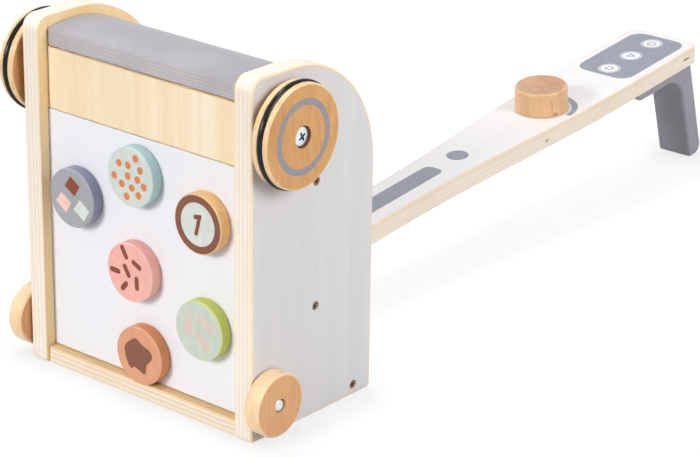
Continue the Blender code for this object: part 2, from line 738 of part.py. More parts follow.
def add_hinge(box, cheek_holes):
    """Two cheeks behind the partition and the dowel that the handle turns on."""
    outer_x = CHEEK_X + CHEEK_THICKNESS
    half = CHEEK_HEIGHT / 2.0
    front = PARTITION_REAR + SEAT_GAP
    outline = [(front, PIVOT_HEIGHT + half), (front, PIVOT_HEIGHT - half)]
    outline += arc((PIVOT_Y, PIVOT_HEIGHT), half, -90.0, 90.0)
    dowel = PIVOT_DOWEL_DIAMETER / 2.0
    bore = dowel + RUNNING_GAP
    bore_profile = [(-BOX_WIDTH, 0.0), (-BOX_WIDTH, bore), (BOX_WIDTH, bore), (BOX_WIDTH, 0.0)]
    dowel_bore = bmesh.new()
    add_turned(dowel_bore, bore_profile, PIN_FACETS, at(0.0, PIVOT_Y, PIVOT_HEIGHT))
    dowel_bore = add_cutter("dowel_bore", dowel_bore, box)
    for name, sign, _ in sides():
        edges = sorted((sign * CHEEK_X, sign * outer_x))
        cheek = bmesh.new()
        add_prism(cheek, outline, edges[0], edges[1])
        cheek = add_object(f"{name}_pivot_cheek", cheek, BARE_PLY, box)
        cut(cheek, dowel_bore, cheek_holes)
    dowel_profile = [(-outer_x, 0.0), (-outer_x, dowel), (outer_x, dowel), (outer_x, 0.0)]
    pin = bmesh.new()
    add_turned(pin, dowel_profile, PIN_FACETS, at(0.0, PIVOT_Y, PIVOT_HEIGHT))
    add_object("pivot_dowel", pin, BEECH, box)
    return dowel_bore


def handle_half_width(along):
    """Half the handle's width: a narrow neck, a smooth flare and a wide head."""
    flare_end = HANDLE_LENGTH - HANDLE_HEAD_LENGTH
    share = (along - HANDLE_NECK_LENGTH) / (flare_end - HANDLE_NECK_LENGTH)
    share = min(max(share, 0.0), 1.0)
    smooth = share * share * (3.0 - 2.0 * share)
    return (HANDLE_NECK_WIDTH + (HANDLE_HEAD_WIDTH - HANDLE_NECK_WIDTH) * smooth) / 2.0


def handle_outline():
    """Plan of the handle board as (across, along)."""
    flare_length = HANDLE_LENGTH - HANDLE_HEAD_LENGTH - HANDLE_NECK_LENGTH
    right = [(HANDLE_NECK_WIDTH / 2.0, -HANDLE_TAIL, HANDLE_TAIL_RADIUS)]
    for step in range(FLARE_STEPS + 1):
        along = HANDLE_NECK_LENGTH + flare_length * step / FLARE_STEPS
        right.append((handle_half_width(along), along, 0.0))
    right.append((HANDLE_HEAD_WIDTH / 2.0, HANDLE_LENGTH, HANDLE_CORNER_RADIUS))
    left = [(-across, along, radius) for across, along, radius in reversed(right)]
    return rounded_outline(right + left)


def grip_outline():
    """Side view of the grip as (along, up) in the handle's own frame."""
    lean = math.tan(math.radians(GRIP_LEAN))
    leg = GRIP_LEG_THICKNESS / math.cos(math.radians(GRIP_LEAN))
    top = -HANDLE_TOP - SEAT_GAP
    back = GRIP_BACK_Y
    nose = GRIP_NOSE_Y
    end = top - GRIP_LEG_LENGTH
    underside = top - GRIP_FOOT_THICKNESS
    heel = back + GRIP_LEG_LENGTH * lean
    return rounded_outline(
        [
            (nose, top, GRIP_TOE_RADIUS),
            (nose, underside, GRIP_NOSE_RADIUS),
            (back - leg + GRIP_FOOT_THICKNESS * lean, underside, GRIP_FILLET),
            (heel - leg, end, GRIP_TOE_RADIUS),
            (heel, end, GRIP_HEEL_RADIUS),
            (back, top, GRIP_SHOULDER_RADIUS),
        ]
    )


def resting_tilt():
    """Tilt of the handle, in radians, at which the grip's lowest point meets the floor."""
    outline = grip_outline()

    def lowest(tilt):
        return PIVOT_HEIGHT + min(y * math.sin(tilt) + z * math.cos(tilt) for y, z in outline)

    low, high = -math.pi / 4.0, math.pi / 4.0
    for _ in range(60):
        middle = (low + high) / 2.0
        if lowest(middle) < 0.0:
            low = middle
        else:
            high = middle
    return high


def add_knob_screw(handle, holes):
    """Screw from under the handle board into the knob. Its hole joins a cutter's shape."""
    underside = -HANDLE_TOP
    length = HANDLE_THICKNESS - KNOB_SCREW_SUNK + RUNNING_GAP + KNOB_BITE
    screw = bmesh.new()
    profile = bolt_profile(
        KNOB_SCREW_HEAD_DIAMETER,
        KNOB_SCREW_HEAD_HEIGHT,
        KNOB_SCREW_DIAMETER,
        KNOB_SCREW_HEAD_HEIGHT + length,
    )
    add_turned(screw, profile, PIN_FACETS)
    head = underside + KNOB_SCREW_SUNK - KNOB_SCREW_HEAD_HEIGHT
    add_object("knob_screw", screw, STEEL, handle, at(0.0, KNOB_Y, head, ALONG_Z))
    hole = hole_profile(
        HANDLE_THICKNESS,
        KNOB_SCREW_HEAD_DIAMETER,
        KNOB_SCREW_SUNK + SEAT_GAP,
        KNOB_SCREW_DIAMETER,
        KNOB_SCREW_SUNK + length,
    )
    add_turned(holes, hole, PIN_FACETS, at(0.0, KNOB_Y, underside, ALONG_Z))


def add_grip_screws(handle, holes):
    """Screws from under the grip's foot into the handle board. Their holes join a cutter's shape."""
    underside = -HANDLE_TOP - SEAT_GAP - GRIP_FOOT_THICKNESS
    length = GRIP_FOOT_THICKNESS - GRIP_SCREW_SUNK + SEAT_GAP + HANDLE_THICKNESS - GRIP_SCREW_TIP_WALL
    screw = bmesh.new()
    profile = bolt_profile(
        GRIP_SCREW_HEAD_DIAMETER,
        GRIP_SCREW_HEAD_HEIGHT,
        GRIP_SCREW_DIAMETER,
        GRIP_SCREW_HEAD_HEIGHT + length,
    )
    add_turned(screw, profile, SCREW_FACETS)
    screw = add_mesh("grip_screw", screw, BRONZE_STEEL)
    hole = hole_profile(
        GRIP_FOOT_THICKNESS,
        GRIP_SCREW_HEAD_DIAMETER,
        GRIP_SCREW_SUNK + SEAT_GAP,
        GRIP_SCREW_DIAMETER,
        GRIP_SCREW_SUNK + length,
    )
    head = underside + GRIP_SCREW_SUNK - GRIP_SCREW_HEAD_HEIGHT
    front = GRIP_NOSE_Y + GRIP_SCREW_SETBACK
    for name, y in (("front", front), ("rear", front + GRIP_SCREW_PITCH)):
        add_copy(f"{name}_grip_screw", screw, handle, at(0.0, y, head, ALONG_Z))
        add_turned(holes, hole, SCREW_FACETS, at(0.0, y, underside, ALONG_Z))


def add_handle_screws(handle):
    """Screws of the knob and the grip, and the cutter of their holes."""
    holes = bmesh.new()
    add_knob_screw(handle, holes)
    add_grip_screws(handle, holes)
    return add_cutter("handle_screw_holes", holes, handle)


def add_handle_board(handle, dowel_bore, screw_holes):
    board = bmesh.new()
    add_prism(board, handle_outline(), -HANDLE_TOP, HANDLE_TOP, DRAWN_ALONG_Z)
    board = add_object("handle_board", board, WHITE_PAINT, handle)
    ease_edges(board, EASED_EDGE)
    cut(board, dowel_bore, screw_holes)


def add_grip(handle, screw_holes):
    grip = bmesh.new()
    add_prism(grip, grip_outline(), -GRIP_WIDTH / 2.0, GRIP_WIDTH / 2.0)
    grip = add_object("handle_grip", grip, GRIP_PAINT, handle)
    ease_edges(grip, GRIP_EDGE)
    cut(grip, screw_holes)


def add_knob(handle):
    """Turned knob with a blind bore for its screw."""
    bore = KNOB_SCREW_DIAMETER / 2.0 + RUNNING_GAP
    bore_depth = KNOB_BITE + RUNNING_GAP
    profile = [(bore_depth, 0.0), (bore_depth, bore), (0.0, bore)]
    profile += eased_rim(0.0, KNOB_BASE_RADIUS, EASED_EDGE, -1.0)
    profile += eased_rim(KNOB_HEIGHT, KNOB_TOP_RADIUS, KNOB_EDGE, 1.0) + [(KNOB_HEIGHT, 0.0)]
    knob = bmesh.new()
    add_turned(knob, profile, LARGE_FACETS)
    add_object("dial_knob", knob, BEECH, handle, at(0.0, KNOB_Y, HANDLE_TOP + RUNNING_GAP, ALONG_Z))


def add_discs(box):
    """Turned discs on the magnetic face, each with a magnet in its back."""
    pocket = MAGNET_RADIUS + SEAT_GAP
    pocket_depth = MAGNET_THICKNESS + 2.0 * SEAT_GAP
    profile = [(pocket_depth, 0.0), (pocket_depth, pocket), (0.0, pocket)]
    profile += eased_rim(0.0, DISC_RADIUS, DISC_EDGE, -1.0)
    profile += eased_rim(DISC_THICKNESS, DISC_RADIUS, DISC_EDGE, 1.0) + [(DISC_THICKNESS, 0.0)]
    magnet_ends = (SEAT_GAP, SEAT_GAP + MAGNET_THICKNESS)
    magnet_profile = [(magnet_ends[0], 0.0), (magnet_ends[0], MAGNET_RADIUS)]
    magnet_profile += [(magnet_ends[1], MAGNET_RADIUS), (magnet_ends[1], 0.0)]
    magnet = bmesh.new()
    add_turned(magnet, magnet_profile, PIN_FACETS)
    magnet = add_mesh("magnet", magnet, MAGNET)
    for name, (side, across, up) in DISC_PLACES.items():
        x = {"left": across - INNER_X, "middle": across, "right": INNER_X - across}[side]
        place = at(x, FACE_RECESS - SEAT_GAP, BOTTOM_THICKNESS + up, AGAINST_Y)
        disc = bmesh.new()
        add_turned(disc, profile, SMALL_FACETS)
        add_object(f"disc_{name}", disc, DISC_PAINTS[name], box, place)
        add_copy(f"magnet_{name}", magnet, box, place)


def main():
    clear_scene()
    box = add_empty("vacuum_box", (0.0, -BOX_DEPTH / 2.0, 0.0))
    handle = add_empty("handle_hinge", (0.0, PIVOT_Y, PIVOT_HEIGHT), box, resting_tilt())
    screw_holes = add_panel_screws(box)
    cheek_holes = add_cheek_screws(box)
    add_side_panels(box, screw_holes)
    add_boards(box, screw_holes, cheek_holes)
    add_magnetic_face(box)
    add_cover(box)
    add_large_wheels(box)
    add_small_wheels(box)
    dowel_bore = add_hinge(box, cheek_holes)
    handle_holes = add_handle_screws(handle)
    add_handle_board(handle, dowel_bore, handle_holes)
    add_grip(handle, handle_holes)
    add_knob(handle)
    add_discs(box)


main()
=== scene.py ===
"""Finished look of a wooden toy vacuum cleaner: fine meshes, procedural materials, light and camera."""

import json
from math import acos, atan2, ceil, cos, degrees, pi, radians, sin, sqrt, tan

import bmesh
import bpy
from mathutils import Matrix, Vector


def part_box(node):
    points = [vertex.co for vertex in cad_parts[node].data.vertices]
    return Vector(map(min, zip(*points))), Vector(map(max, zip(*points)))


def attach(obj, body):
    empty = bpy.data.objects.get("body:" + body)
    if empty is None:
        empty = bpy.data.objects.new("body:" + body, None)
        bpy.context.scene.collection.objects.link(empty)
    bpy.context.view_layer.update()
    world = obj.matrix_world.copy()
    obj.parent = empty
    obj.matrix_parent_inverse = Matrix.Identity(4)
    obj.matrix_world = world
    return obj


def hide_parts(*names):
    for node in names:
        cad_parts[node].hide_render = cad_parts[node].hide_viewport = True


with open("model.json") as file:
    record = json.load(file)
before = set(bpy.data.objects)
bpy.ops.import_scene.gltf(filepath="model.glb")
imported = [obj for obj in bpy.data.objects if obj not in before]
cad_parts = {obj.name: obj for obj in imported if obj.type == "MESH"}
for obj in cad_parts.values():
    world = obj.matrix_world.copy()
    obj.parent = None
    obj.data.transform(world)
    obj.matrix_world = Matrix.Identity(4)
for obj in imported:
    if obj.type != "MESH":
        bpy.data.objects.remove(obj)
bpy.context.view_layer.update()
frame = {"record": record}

MM = 0.001


def mm(*lengths):
    """Metres from millimetres."""
    return tuple(length * MM for length in lengths)


def span(node):
    """Lowest corner, highest corner and middle of a CAD node."""
    low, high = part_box(node)
    return low, high, (low + high) / 2.0


GAP, SUPPORT = mm(0.3, 0.12)
SMOOTH_ANGLE = radians(32.0)
FLAT, SKIN, NEAR = 0.99, 0.01 * MM, 0.05 * MM
SEAT_DEPTH, INK_THICK = mm(3.3, 0.08)
ORIGIN = (0.0, 0.0, 0.0)

# Box: side panels from INNER to OUTER on either side, fitted with boards, a face and a bent cover
PANEL_LOW, PANEL_HIGH, _ = span("right_side_panel")
INNER, OUTER = PANEL_LOW.x, PANEL_HIGH.x
FRONT_Y, REAR_Y, HEIGHT = PANEL_LOW.y, PANEL_HIGH.y, PANEL_HIGH.z
EDGE, PANEL_EASE, PANEL_INNER_EASE = mm(1.2, 1.9, 0.7)
FACE_LOW, FACE_HIGH, _ = span("magnetic_face")
BOTTOM_TOP, RAIL_FOOT, WALL_FRONT = span("bottom_board")[1].z, span("front_rail")[0].z, span("partition")[0].y
REVEAL, GROOVE = mm(0.6, 4)
COVER_TOP, COVER_CROWN = span("curved_cover")[1].z, FRONT_Y + 34.0 * MM
COVER_FRONT, COVER_REAR, COVER_THICK = mm(115.0, 75.6, 12.0)
COVER_SIDE_GAP = 0.8 * MM
DOWEL_R, DOWEL_BORE = mm(4, 4.3)

# Handle, in a frame at its pivot: x across, y along, z up
PIVOT = span("pivot_dowel")[2]
KNOB_AXIS = [j["axis"] for j in frame["record"]["behaviour"]["joints"] if j["name"] == "knob_turn"][0]
TILT = atan2(-KNOB_AXIS[1], KNOB_AXIS[2])
TAIL, LENGTH, NECK, HEAD = mm(-16.0, 534.0, 165.0, 428.0)
NECK_HALF, HEAD_HALF, HALF_BOARD = mm(21.3, 33.1, 7.5)
KNOB_Y, KNOB_R, KNOB_H = mm(358.5, 21.4, 19.3)

# Wheels and discs
AXLE_BORE, RING_BORE, RING_R = mm(3.3, 3.2, 7)
BIG_LOW, BIG_HIGH, _ = span("right_large_wheel")
BIG_R, BIG_W, BIG_OFF = (BIG_HIGH.z - BIG_LOW.z) / 2, BIG_HIGH.x - BIG_LOW.x, BIG_LOW.x - OUTER
TYRE_R, TYRE_H, TYRE_PROUD = mm(2.1, 7.2, 1.3)
TYRE_RING = BIG_R + TYRE_PROUD - TYRE_R
SMALL_LOW, SMALL_HIGH, _ = span("right_small_wheel")
SMALL_R, SMALL_W = (SMALL_HIGH.y - SMALL_LOW.y) / 2, SMALL_HIGH.x - SMALL_LOW.x
SMALL_OFF = SMALL_LOW.x - OUTER
DISC_LOW, DISC_HIGH, _ = span("disc_tiles")
DISC_R, DISC_H, DISC_EASE = (DISC_HIGH.x - DISC_LOW.x) / 2, DISC_HIGH.y - DISC_LOW.y, 0.9 * MM


def at(x=0.0, y=0.0, z=0.0):
    return Matrix.Translation((x, y, z))


def spun(angle, axis="Z"):
    return Matrix.Rotation(angle, 4, axis)


def facing(x, y, z):
    """Turns local x, y, z onto three given directions."""
    return Matrix((x, y, z)).transposed().to_4x4()


PLAIN = Matrix.Identity(4)
HANDLE = at(*PIVOT) @ spun(TILT, "X")
SIDES = (("left", -1), ("right", 1))
OUT = {1: facing((0, 1, 0), (0, 0, 1), (1, 0, 0)), -1: facing((0, -1, 0), (0, 0, 1), (-1, 0, 0))}
FRONT = facing((1, 0, 0), (0, 0, 1), (0, -1, 0))
DOWN = facing((1, 0, 0), (0, -1, 0), (0, 0, -1))


# Outlines
def arc(cx, cy, r, start, end, steps):
    angles = [radians(start + (end - start) * k / steps) for k in range(steps + 1)]
    return [(cx + r * cos(a), cy + r * sin(a)) for a in angles]


def circle(cx, cy, r, steps):
    return arc(cx, cy, r, 0.0, 360.0, steps)[:-1]


def rounded(corners, step=7.5):
    """Closed outline of corners (u, v) and rounded ones (u, v, radius), with a point beside each rounding."""
    points = []
    for i, (u, v, *radius) in enumerate(corners):
        if not radius:
            points.append((u, v))
            continue
        here, r = Vector((u, v)), radius[0]
        back = (Vector(corners[i - 1][:2]) - here).normalized()
        ahead = (Vector(corners[(i + 1) % len(corners)][:2]) - here).normalized()
        half = back.angle(ahead) / 2.0
        reach = r / tan(half)
        middle = here + (back + ahead).normalized() * (r / sin(half))
        first, last = here + back * reach, here + ahead * reach
        start, finish = first - middle, last - middle
        a = atan2(start.y, start.x)
        sweep = atan2(finish.y, finish.x) - a
        sweep = (sweep + pi) % (2.0 * pi) - pi
        steps = max(3, ceil(abs(degrees(sweep)) / step))
        points.append(tuple(first + back * SUPPORT))
        points += arc(*middle, r, degrees(a), degrees(a + sweep), steps)
        points.append(tuple(last + ahead * SUPPORT))
    return points


def plate(low, high, start, end, r, step=7.5):
    """Rectangle with round corners."""
    return rounded([(low, start, r), (high, start, r), (high, end, r), (low, end, r)], step)


def inset(outline, d):
    """Outline drawn in by d; it runs counter-clockwise."""
    result = []
    for i, p in enumerate(outline):
        a = Vector(p) - Vector(outline[i - 1])
        b = Vector(outline[(i + 1) % len(outline)]) - Vector(p)
        a, b = a.normalized(), b.normalized()
        n = Vector((-a.y - b.y, a.x + b.x)) / (1.0 + a.dot(b))
        result.append((p[0] + d * n.x, p[1] + d * n.y))
    return result


def wound(outline):
    area = sum(p[0] * q[1] - q[0] * p[1] for p, q in zip(outline, outline[1:] + outline[:1]))
    return outline if area > 0 else outline[::-1]


def edge_levels(low, high, r_low, r_high, steps=4):
    """(height, inset) of a board's loops from its lower face to its upper one, with rounded edges."""
    quarter = [radians(90.0 * k / steps) for k in range(steps + 1)]
    levels = [(low, r_low + SUPPORT)]
    levels += [(low + r_low * (1 - cos(a)), r_low * (1 - sin(a))) for a in quarter]
    levels += [(low + r_low + SUPPORT, 0.0), (high - r_high - SUPPORT, 0.0)]
    levels += [(high - r_high * (1 - cos(a)), r_high * (1 - sin(a))) for a in quarter[::-1]]
    return levels + [(high, r_high + SUPPORT)]


# Meshes
def skin(bm, loops, ring=False):
    """Joins loops of points by quads, and closes the ends unless they join up."""
    rows = [[bm.verts.new(p) for p in loop] for loop in loops]
    count = len(rows[0])
    pairs = list(zip(rows, rows[1:])) + ([(rows[-1], rows[0])] if ring else [])
    for a, b in pairs:
        for k in range(count):
            bm.faces.new((a[k], a[(k + 1) % count], b[(k + 1) % count], b[k]))
    if not ring:
        bm.faces.new(rows[0][::-1])
        bm.faces.new(rows[-1])


AXES = {"x": lambda u, v, w: (w, u, v), "y": lambda u, v, w: (v, w, u), "z": lambda u, v, w: (u, v, w)}


def board(outline, low, high, axis="z", r=EDGE, steps=4, r_high=None):
    """Closed mesh of an outline drawn out along an axis, with rounded edges."""
    bm, place = bmesh.new(), AXES[axis]
    outline = wound(outline)
    levels = edge_levels(low, high, r, r if r_high is None else r_high, steps)
    skin(bm, [[place(u, v, h) for u, v in inset(outline, d)] for h, d in levels])
    return bm


def block(low, high, axis, r):
    """Rounded box; the axis is the one that it is drawn out along."""
    u, v, w = {"x": (1, 2, 0), "y": (2, 0, 1), "z": (0, 1, 2)}[axis]
    outline = plate(low[u], high[u], low[v], high[v], r + 3 * SUPPORT, 22.5)
    return board(outline, low[w], high[w], axis, r)


def plain_block(low, high):
    """Sharp box, for cutting."""
    bm = bmesh.new()
    corners = [(low[0], low[1]), (high[0], low[1]), (high[0], high[1]), (low[0], high[1])]
    skin(bm, [[(x, y, z) for x, y in corners] for z in (low[2], high[2])])
    return bm


def turned(profile, facets=96, ring=False):
    """Mesh turned round local z from (radius, height) points."""
    bm = bmesh.new()
    turns = [2.0 * pi * k / facets for k in range(facets)]
    skin(bm, [[(r * cos(a), r * sin(a), h) for a in turns] for r, h in profile], ring)
    return bm


def lathe_profile(corners, step=15.0):
    """Open line of (radius, height) points with its corners rounded."""
    first, last = corners[0], corners[-1]
    return rounded([(first[0] - 1.0, first[1]), *corners, (last[0] - 1.0, last[1])], step)[1:-1]


def merge(meshes):
    whole = bmesh.new()
    for bm in meshes:
        mesh = to_mesh("part", bm)
        whole.from_mesh(mesh)
        bpy.data.meshes.remove(mesh)
    return whole


def moved(bm, matrix):
    bmesh.ops.transform(bm, matrix=matrix, verts=bm.verts)
    return bm


def to_mesh(name, bm):
    bmesh.ops.recalc_face_normals(bm, faces=bm.faces)
    mesh = bpy.data.meshes.new(name)
    bm.to_mesh(mesh)
    bm.free()
    return mesh


def dress(mesh, materials, rule=None):
    """Gives a mesh its materials, by a rule from a face's middle and normal, and smooth shading."""
    for material in materials:
        mesh.materials.append(material)
    for face in mesh.polygons:
        face.material_index = rule(face.center, face.normal) if rule else 0
    mesh.shade_smooth()
    mesh.set_sharp_from_angle(angle=SMOOTH_ANGLE)
    return mesh


def linked(name, data):
    """New object in the scene."""
    made = bpy.data.objects.new(name, data)
    bpy.context.scene.collection.objects.link(made)
    return made


def carved(name, bm, cutters):
    """Mesh of a body less its cutters."""
    body = linked(name, to_mesh(name, bm))
    tool = linked(name + "_cutter", to_mesh(name + "_cutter", merge(cutters)))
    boolean = body.modifiers.new("cut", "BOOLEAN")
    boolean.operation, boolean.solver, boolean.object = "DIFFERENCE", "EXACT", tool
    boolean.use_self = True
    mesh = bpy.data.meshes.new_from_object(body.evaluated_get(bpy.context.evaluated_depsgraph_get()))
    for o in (body, tool):
        data = o.data
        bpy.data.objects.remove(o)
        bpy.data.meshes.remove(data)
    mesh.name = name
    return mesh


def piece(name, mesh, slot, place, body, node=None):
    """Places a mesh as a piece that rides on a body and may stand for a CAD node."""
    made = linked(name, mesh)
    made.matrix_world = place
    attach(made, body)
    if node:
        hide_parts(node)


def fitted(node, mesh, slot, place, body="box"):
    """Places a mesh as the finish of a CAD node."""
    piece(f"{node}_finish", mesh, slot, place, body, node)


def solid(node, bm, materials, slot, rule=None, cutters=(), place=PLAIN, body="box"):
    """Places a closed shape, less its cutters, as the finish of a CAD node."""
    name = f"{node}_finish"
    mesh = carved(name, bm, cutters) if cutters else to_mesh(name, bm)
    fitted(node, dress(mesh, materials, rule), slot, place, body)


# Shader helpers
def tone(r, g, b):
    """Linear colour from 8-bit sRGB values."""
    channels = [min(c, 255.0) / 255.0 for c in (r, g, b)]
    return (*[c / 12.92 if c <= 0.04045 else ((c + 0.055) / 1.055) ** 2.4 for c in channels], 1.0)


def times(colour, share):
    return [c * share for c in colour]


class Nodes:
    """The node tree of a material or a world."""

    def __init__(self, owner):
        owner.use_nodes = True
        self.tree = owner.node_tree

    def add(self, kind, inputs=None, **settings):
        node = self.tree.nodes.new("ShaderNode" + kind)
        for key, value in settings.items():
            setattr(node, key, value)
        for key, value in (inputs or {}).items():
            self.feed(node.inputs[key], value)
        return node

    def feed(self, socket, value):
        if isinstance(value, bpy.types.NodeSocket):
            self.tree.links.new(value, socket)
        else:
            socket.default_value = value

    def maths(self, operation, a, b=0.0, c=0.0):
        return self.add("Math", {0: a, 1: b, 2: c}, operation=operation).outputs[0]

    def between(self, value, low, high, to_low=0.0, to_high=1.0):
        inputs = {"Value": value, "From Min": low, "From Max": high, "To Min": to_low, "To Max": to_high}
        return self.add("MapRange", inputs).outputs[0]


class Look(Nodes):
    """A material and the nodes that feed its shader; its patterns are turned and shifted together."""

    def __init__(self, name, specular=0.5, warm=0.0, shift=ORIGIN, turn=ORIGIN, metallic=0.0):
        self.material = bpy.data.materials.new(name)
        super().__init__(self.material)
        self.warm, self.shift, self.turn = warm, shift, turn
        self.shader = self.tree.nodes["Principled BSDF"]
        self.shader.inputs["Specular IOR Level"].default_value = specular
        self.shader.inputs["Metallic"].default_value = metallic
        self.place = self.add("TexCoord").outputs["Object"]

    def spread(self, scale, shift):
        """Object coordinates, turned, scaled and shifted."""
        place = self.place
        if any(self.turn):
            place = self.add("Mapping", {"Vector": place, "Rotation": self.turn}).outputs[0]
        return self.add("Mapping", {"Vector": place, "Scale": scale, "Location": shift}).outputs[0]

    def noise(self, scale, detail=3.0, rough=0.5, distortion=0.0):
        """Noise with so many features a metre: one number for all axes, or three."""
        vector = self.spread((scale,) * 3 if isinstance(scale, float) else scale, self.shift)
        inputs = {"Vector": vector, "Scale": 1.0, "Detail": detail, "Roughness": rough}
        return self.add("TexNoise", {**inputs, "Distortion": distortion}).outputs["Fac"]

    def vary(self, noise, low, high):
        """Spreads most of a noise's range over low to high."""
        return self.between(noise, 0.3, 0.7, low, high)

    def ramp(self, value, stops, kind="LINEAR"):
        node = self.add("ValToRGB", {"Fac": value})
        node.color_ramp.interpolation = kind
        elements = node.color_ramp.elements
        while len(elements) < len(stops):
            elements.new(1.0)
        for element, stop in zip(elements, stops):
            element.position, element.color = stop
        return node.outputs["Color"]

    def blend(self, value, low, first, high, second):
        """Colour from one 8-bit tone to another as a value rises from low to high."""
        return self.ramp(value, [(low, tone(*first)), (high, tone(*second))])

    def mix(self, share, a, b, kind="MIX"):
        node = self.add("Mix", data_type="RGBA", blend_type=kind)
        for index, value in ((0, share), (6, a), (7, b)):
            self.feed(node.inputs[index], value)
        return node.outputs[2]

    def darken(self, colour, *causes):
        """Colour less an amount of it where each cause (value, low, high, amount) passes from low to high.

        A warm look loses more blue than red.
        """
        for value, low, high, amount in causes:
            shades = [self.between(value, low, high, 1.0, 1.0 - amount * (1.0 + tint))
                      for tint in (-self.warm, 0.0, self.warm)]
            shade = self.add("CombineColor", dict(enumerate(shades))).outputs[0]
            colour = self.mix(1.0, colour, shade, "MULTIPLY")
        return colour

    def marked(self, colour, marks, ragged):
        """Colour with dark marks, each an ellipsoid (middle, reach, strength) with a ragged edge."""
        # Marks serve for knots and streaks in wood, and as painted shade for voids in a ply edge.
        for middle, reach, strength in marks:
            away = self.add("VectorMath", {0: self.place, 1: middle}, operation="SUBTRACT").outputs[0]
            scale = tuple(1.0 / r for r in reach)
            away = self.add("VectorMath", {0: away, 1: scale}, operation="MULTIPLY").outputs[0]
            away = self.add("VectorMath", {0: away}, operation="LENGTH").outputs["Value"]
            away = self.maths("ADD", away, self.vary(ragged, -0.25, 0.25))
            colour = self.mix(self.between(away, 1.0, 0.4, 0.0, strength), colour, tone(112, 62, 34))
        return colour

    def ply_lines(self, axis, low, high, plies, wave):
        """Depth through plywood, from 0 to 1 and in plies, and the distance to a glue line in plies."""
        across = self.add("SeparateXYZ", {0: self.place}).outputs["xyz".index(axis)]
        depth = self.between(across, low, high, -0.012, 0.988)
        depth = self.maths("ADD", depth, self.maths("MULTIPLY", wave, 0.024))
        count = self.maths("MULTIPLY", depth, float(plies))
        line = self.maths("SUBTRACT", self.maths("FRACT", self.maths("ADD", count, 0.5)), 0.5)
        return depth, count, self.maths("ABSOLUTE", line)

    def finish(self, colour, rough, height, depth):
        """Links a colour, a roughness (noise, low, high) and a height in units of depth."""
        bump = self.add("Bump", {"Height": height, "Distance": depth, "Strength": 1.0}).outputs[0]
        for key, value in (("Base Color", colour), ("Roughness", self.vary(*rough)), ("Normal", bump)):
            self.feed(self.shader.inputs[key], value)
        return self.material


WOOD_WARMTH, STRETCH = 0.45, 0.03


def along(grain, across):
    """Scale of a pattern that runs along one axis, for so many features a metre across it."""
    return tuple(across * (STRETCH if axis == grain else 1.0) for axis in "xyz")


# Materials
def veneer(name, grain, pale, warm, shift=ORIGIN):
    """Bare birch face veneer: broad bands, fine fibres and a few short pores."""
    look = Look(name, 0.35, WOOD_WARMTH, shift)
    broad = look.noise(along(grain, 55.0), 2.0, 0.5)
    streak = look.noise(along(grain, 320.0), 4.0, 0.6, distortion=0.3)
    fibre = look.noise(along(grain, 2200.0), 3.0, 0.6)
    colour = look.blend(broad, 0.36, pale, 0.64, warm)
    colour = look.darken(colour, (streak, 0.50, 0.80, 0.10), (fibre, 0.55, 0.85, 0.14))
    return look.finish(colour, (fibre, 0.48, 0.62), look.maths("ADD", fibre, streak), 0.00003)


PLAIN_PLIES = [
    (238, 208, 164), (247, 232, 210), (240, 219, 194), (249, 236, 216), (241, 222, 198),
    (248, 233, 212), (239, 217, 190), (247, 231, 208), (237, 206, 162),
]
PANEL_PLIES = [
    (252, 234, 208), (254, 246, 233), (246, 234, 223), (255, 248, 236), (245, 233, 222),
    (255, 247, 235), (246, 234, 222), (254, 244, 229), (248, 230, 205),
]
BOTTOM_PLIES = [
    (248, 229, 205), (254, 243, 224), (242, 224, 203), (255, 245, 227), (241, 222, 200), (254, 242, 221),
    (247, 219, 181),
]
HANDLE_PLIES = [
    (248, 233, 219), (254, 244, 232), (247, 234, 221), (254, 246, 234), (248, 235, 222),
    (254, 245, 231), (249, 237, 223), (251, 238, 221), (242, 224, 201),
]


def ply_edge(name, axis, low, high, tones=PLAIN_PLIES, shift=ORIGIN, marks=()):
    """Cut edge of plywood: plies of alternating grain between thin glue lines, along one axis."""
    look = Look(name, 0.3, WOOD_WARMTH, shift)
    wave = look.noise(40.0, 2.0)
    depth, count, line = look.ply_lines(axis, low, high, len(tones), wave)
    colour = look.ramp(depth, [(k / len(tones), tone(*c)) for k, c in enumerate(tones)], "CONSTANT")
    thin = [26.0, 26.0, 26.0]
    thin["xyz".index(axis)] = 1900.0
    streak = look.noise(thin, 4.0, 0.65)
    pores = look.noise(1500.0, 2.0, 0.6)
    cross = look.maths("GREATER_THAN", look.maths("FRACT", look.maths("MULTIPLY", count, 0.5)), 0.5)
    patch = look.noise(18.0, 2.0)
    colour = look.darken(colour, (line, 0.12, 0.02, 0.16), (streak, 0.46, 0.78, 0.12),
                         (look.maths("MULTIPLY", cross, pores), 0.50, 0.72, 0.14), (patch, 0.42, 0.70, 0.05))
    colour = look.marked(colour, marks, pores)
    height = look.maths("ADD", streak, look.between(line, 0.0, 0.08, -0.8, 0.0))
    return look.finish(colour, (streak, 0.5, 0.66), height, 0.00005)


def grained_paint(name, colour, grain, amount, rough, shift=ORIGIN, bump=0.00003):
    """Thin paint over plywood, through which the grain of the veneer shows."""
    look = Look(name, 0.4, shift=shift)
    broad = look.noise(along(grain, 40.0), 2.0)
    streak = look.noise(along(grain, 420.0), 4.0, 0.62, distortion=0.25)
    fibre = look.noise(along(grain, 1700.0), 3.0, 0.6)
    made = look.blend(broad, 0.38, colour, 0.66, times(colour, 1.0 - 0.35 * amount))
    made = look.darken(made, (streak, 0.52, 0.78, 0.9 * amount), (fibre, 0.56, 0.82, 0.9 * amount))
    return look.finish(made, (fibre, rough - 0.05, rough + 0.07), look.maths("ADD", streak, fibre), bump)


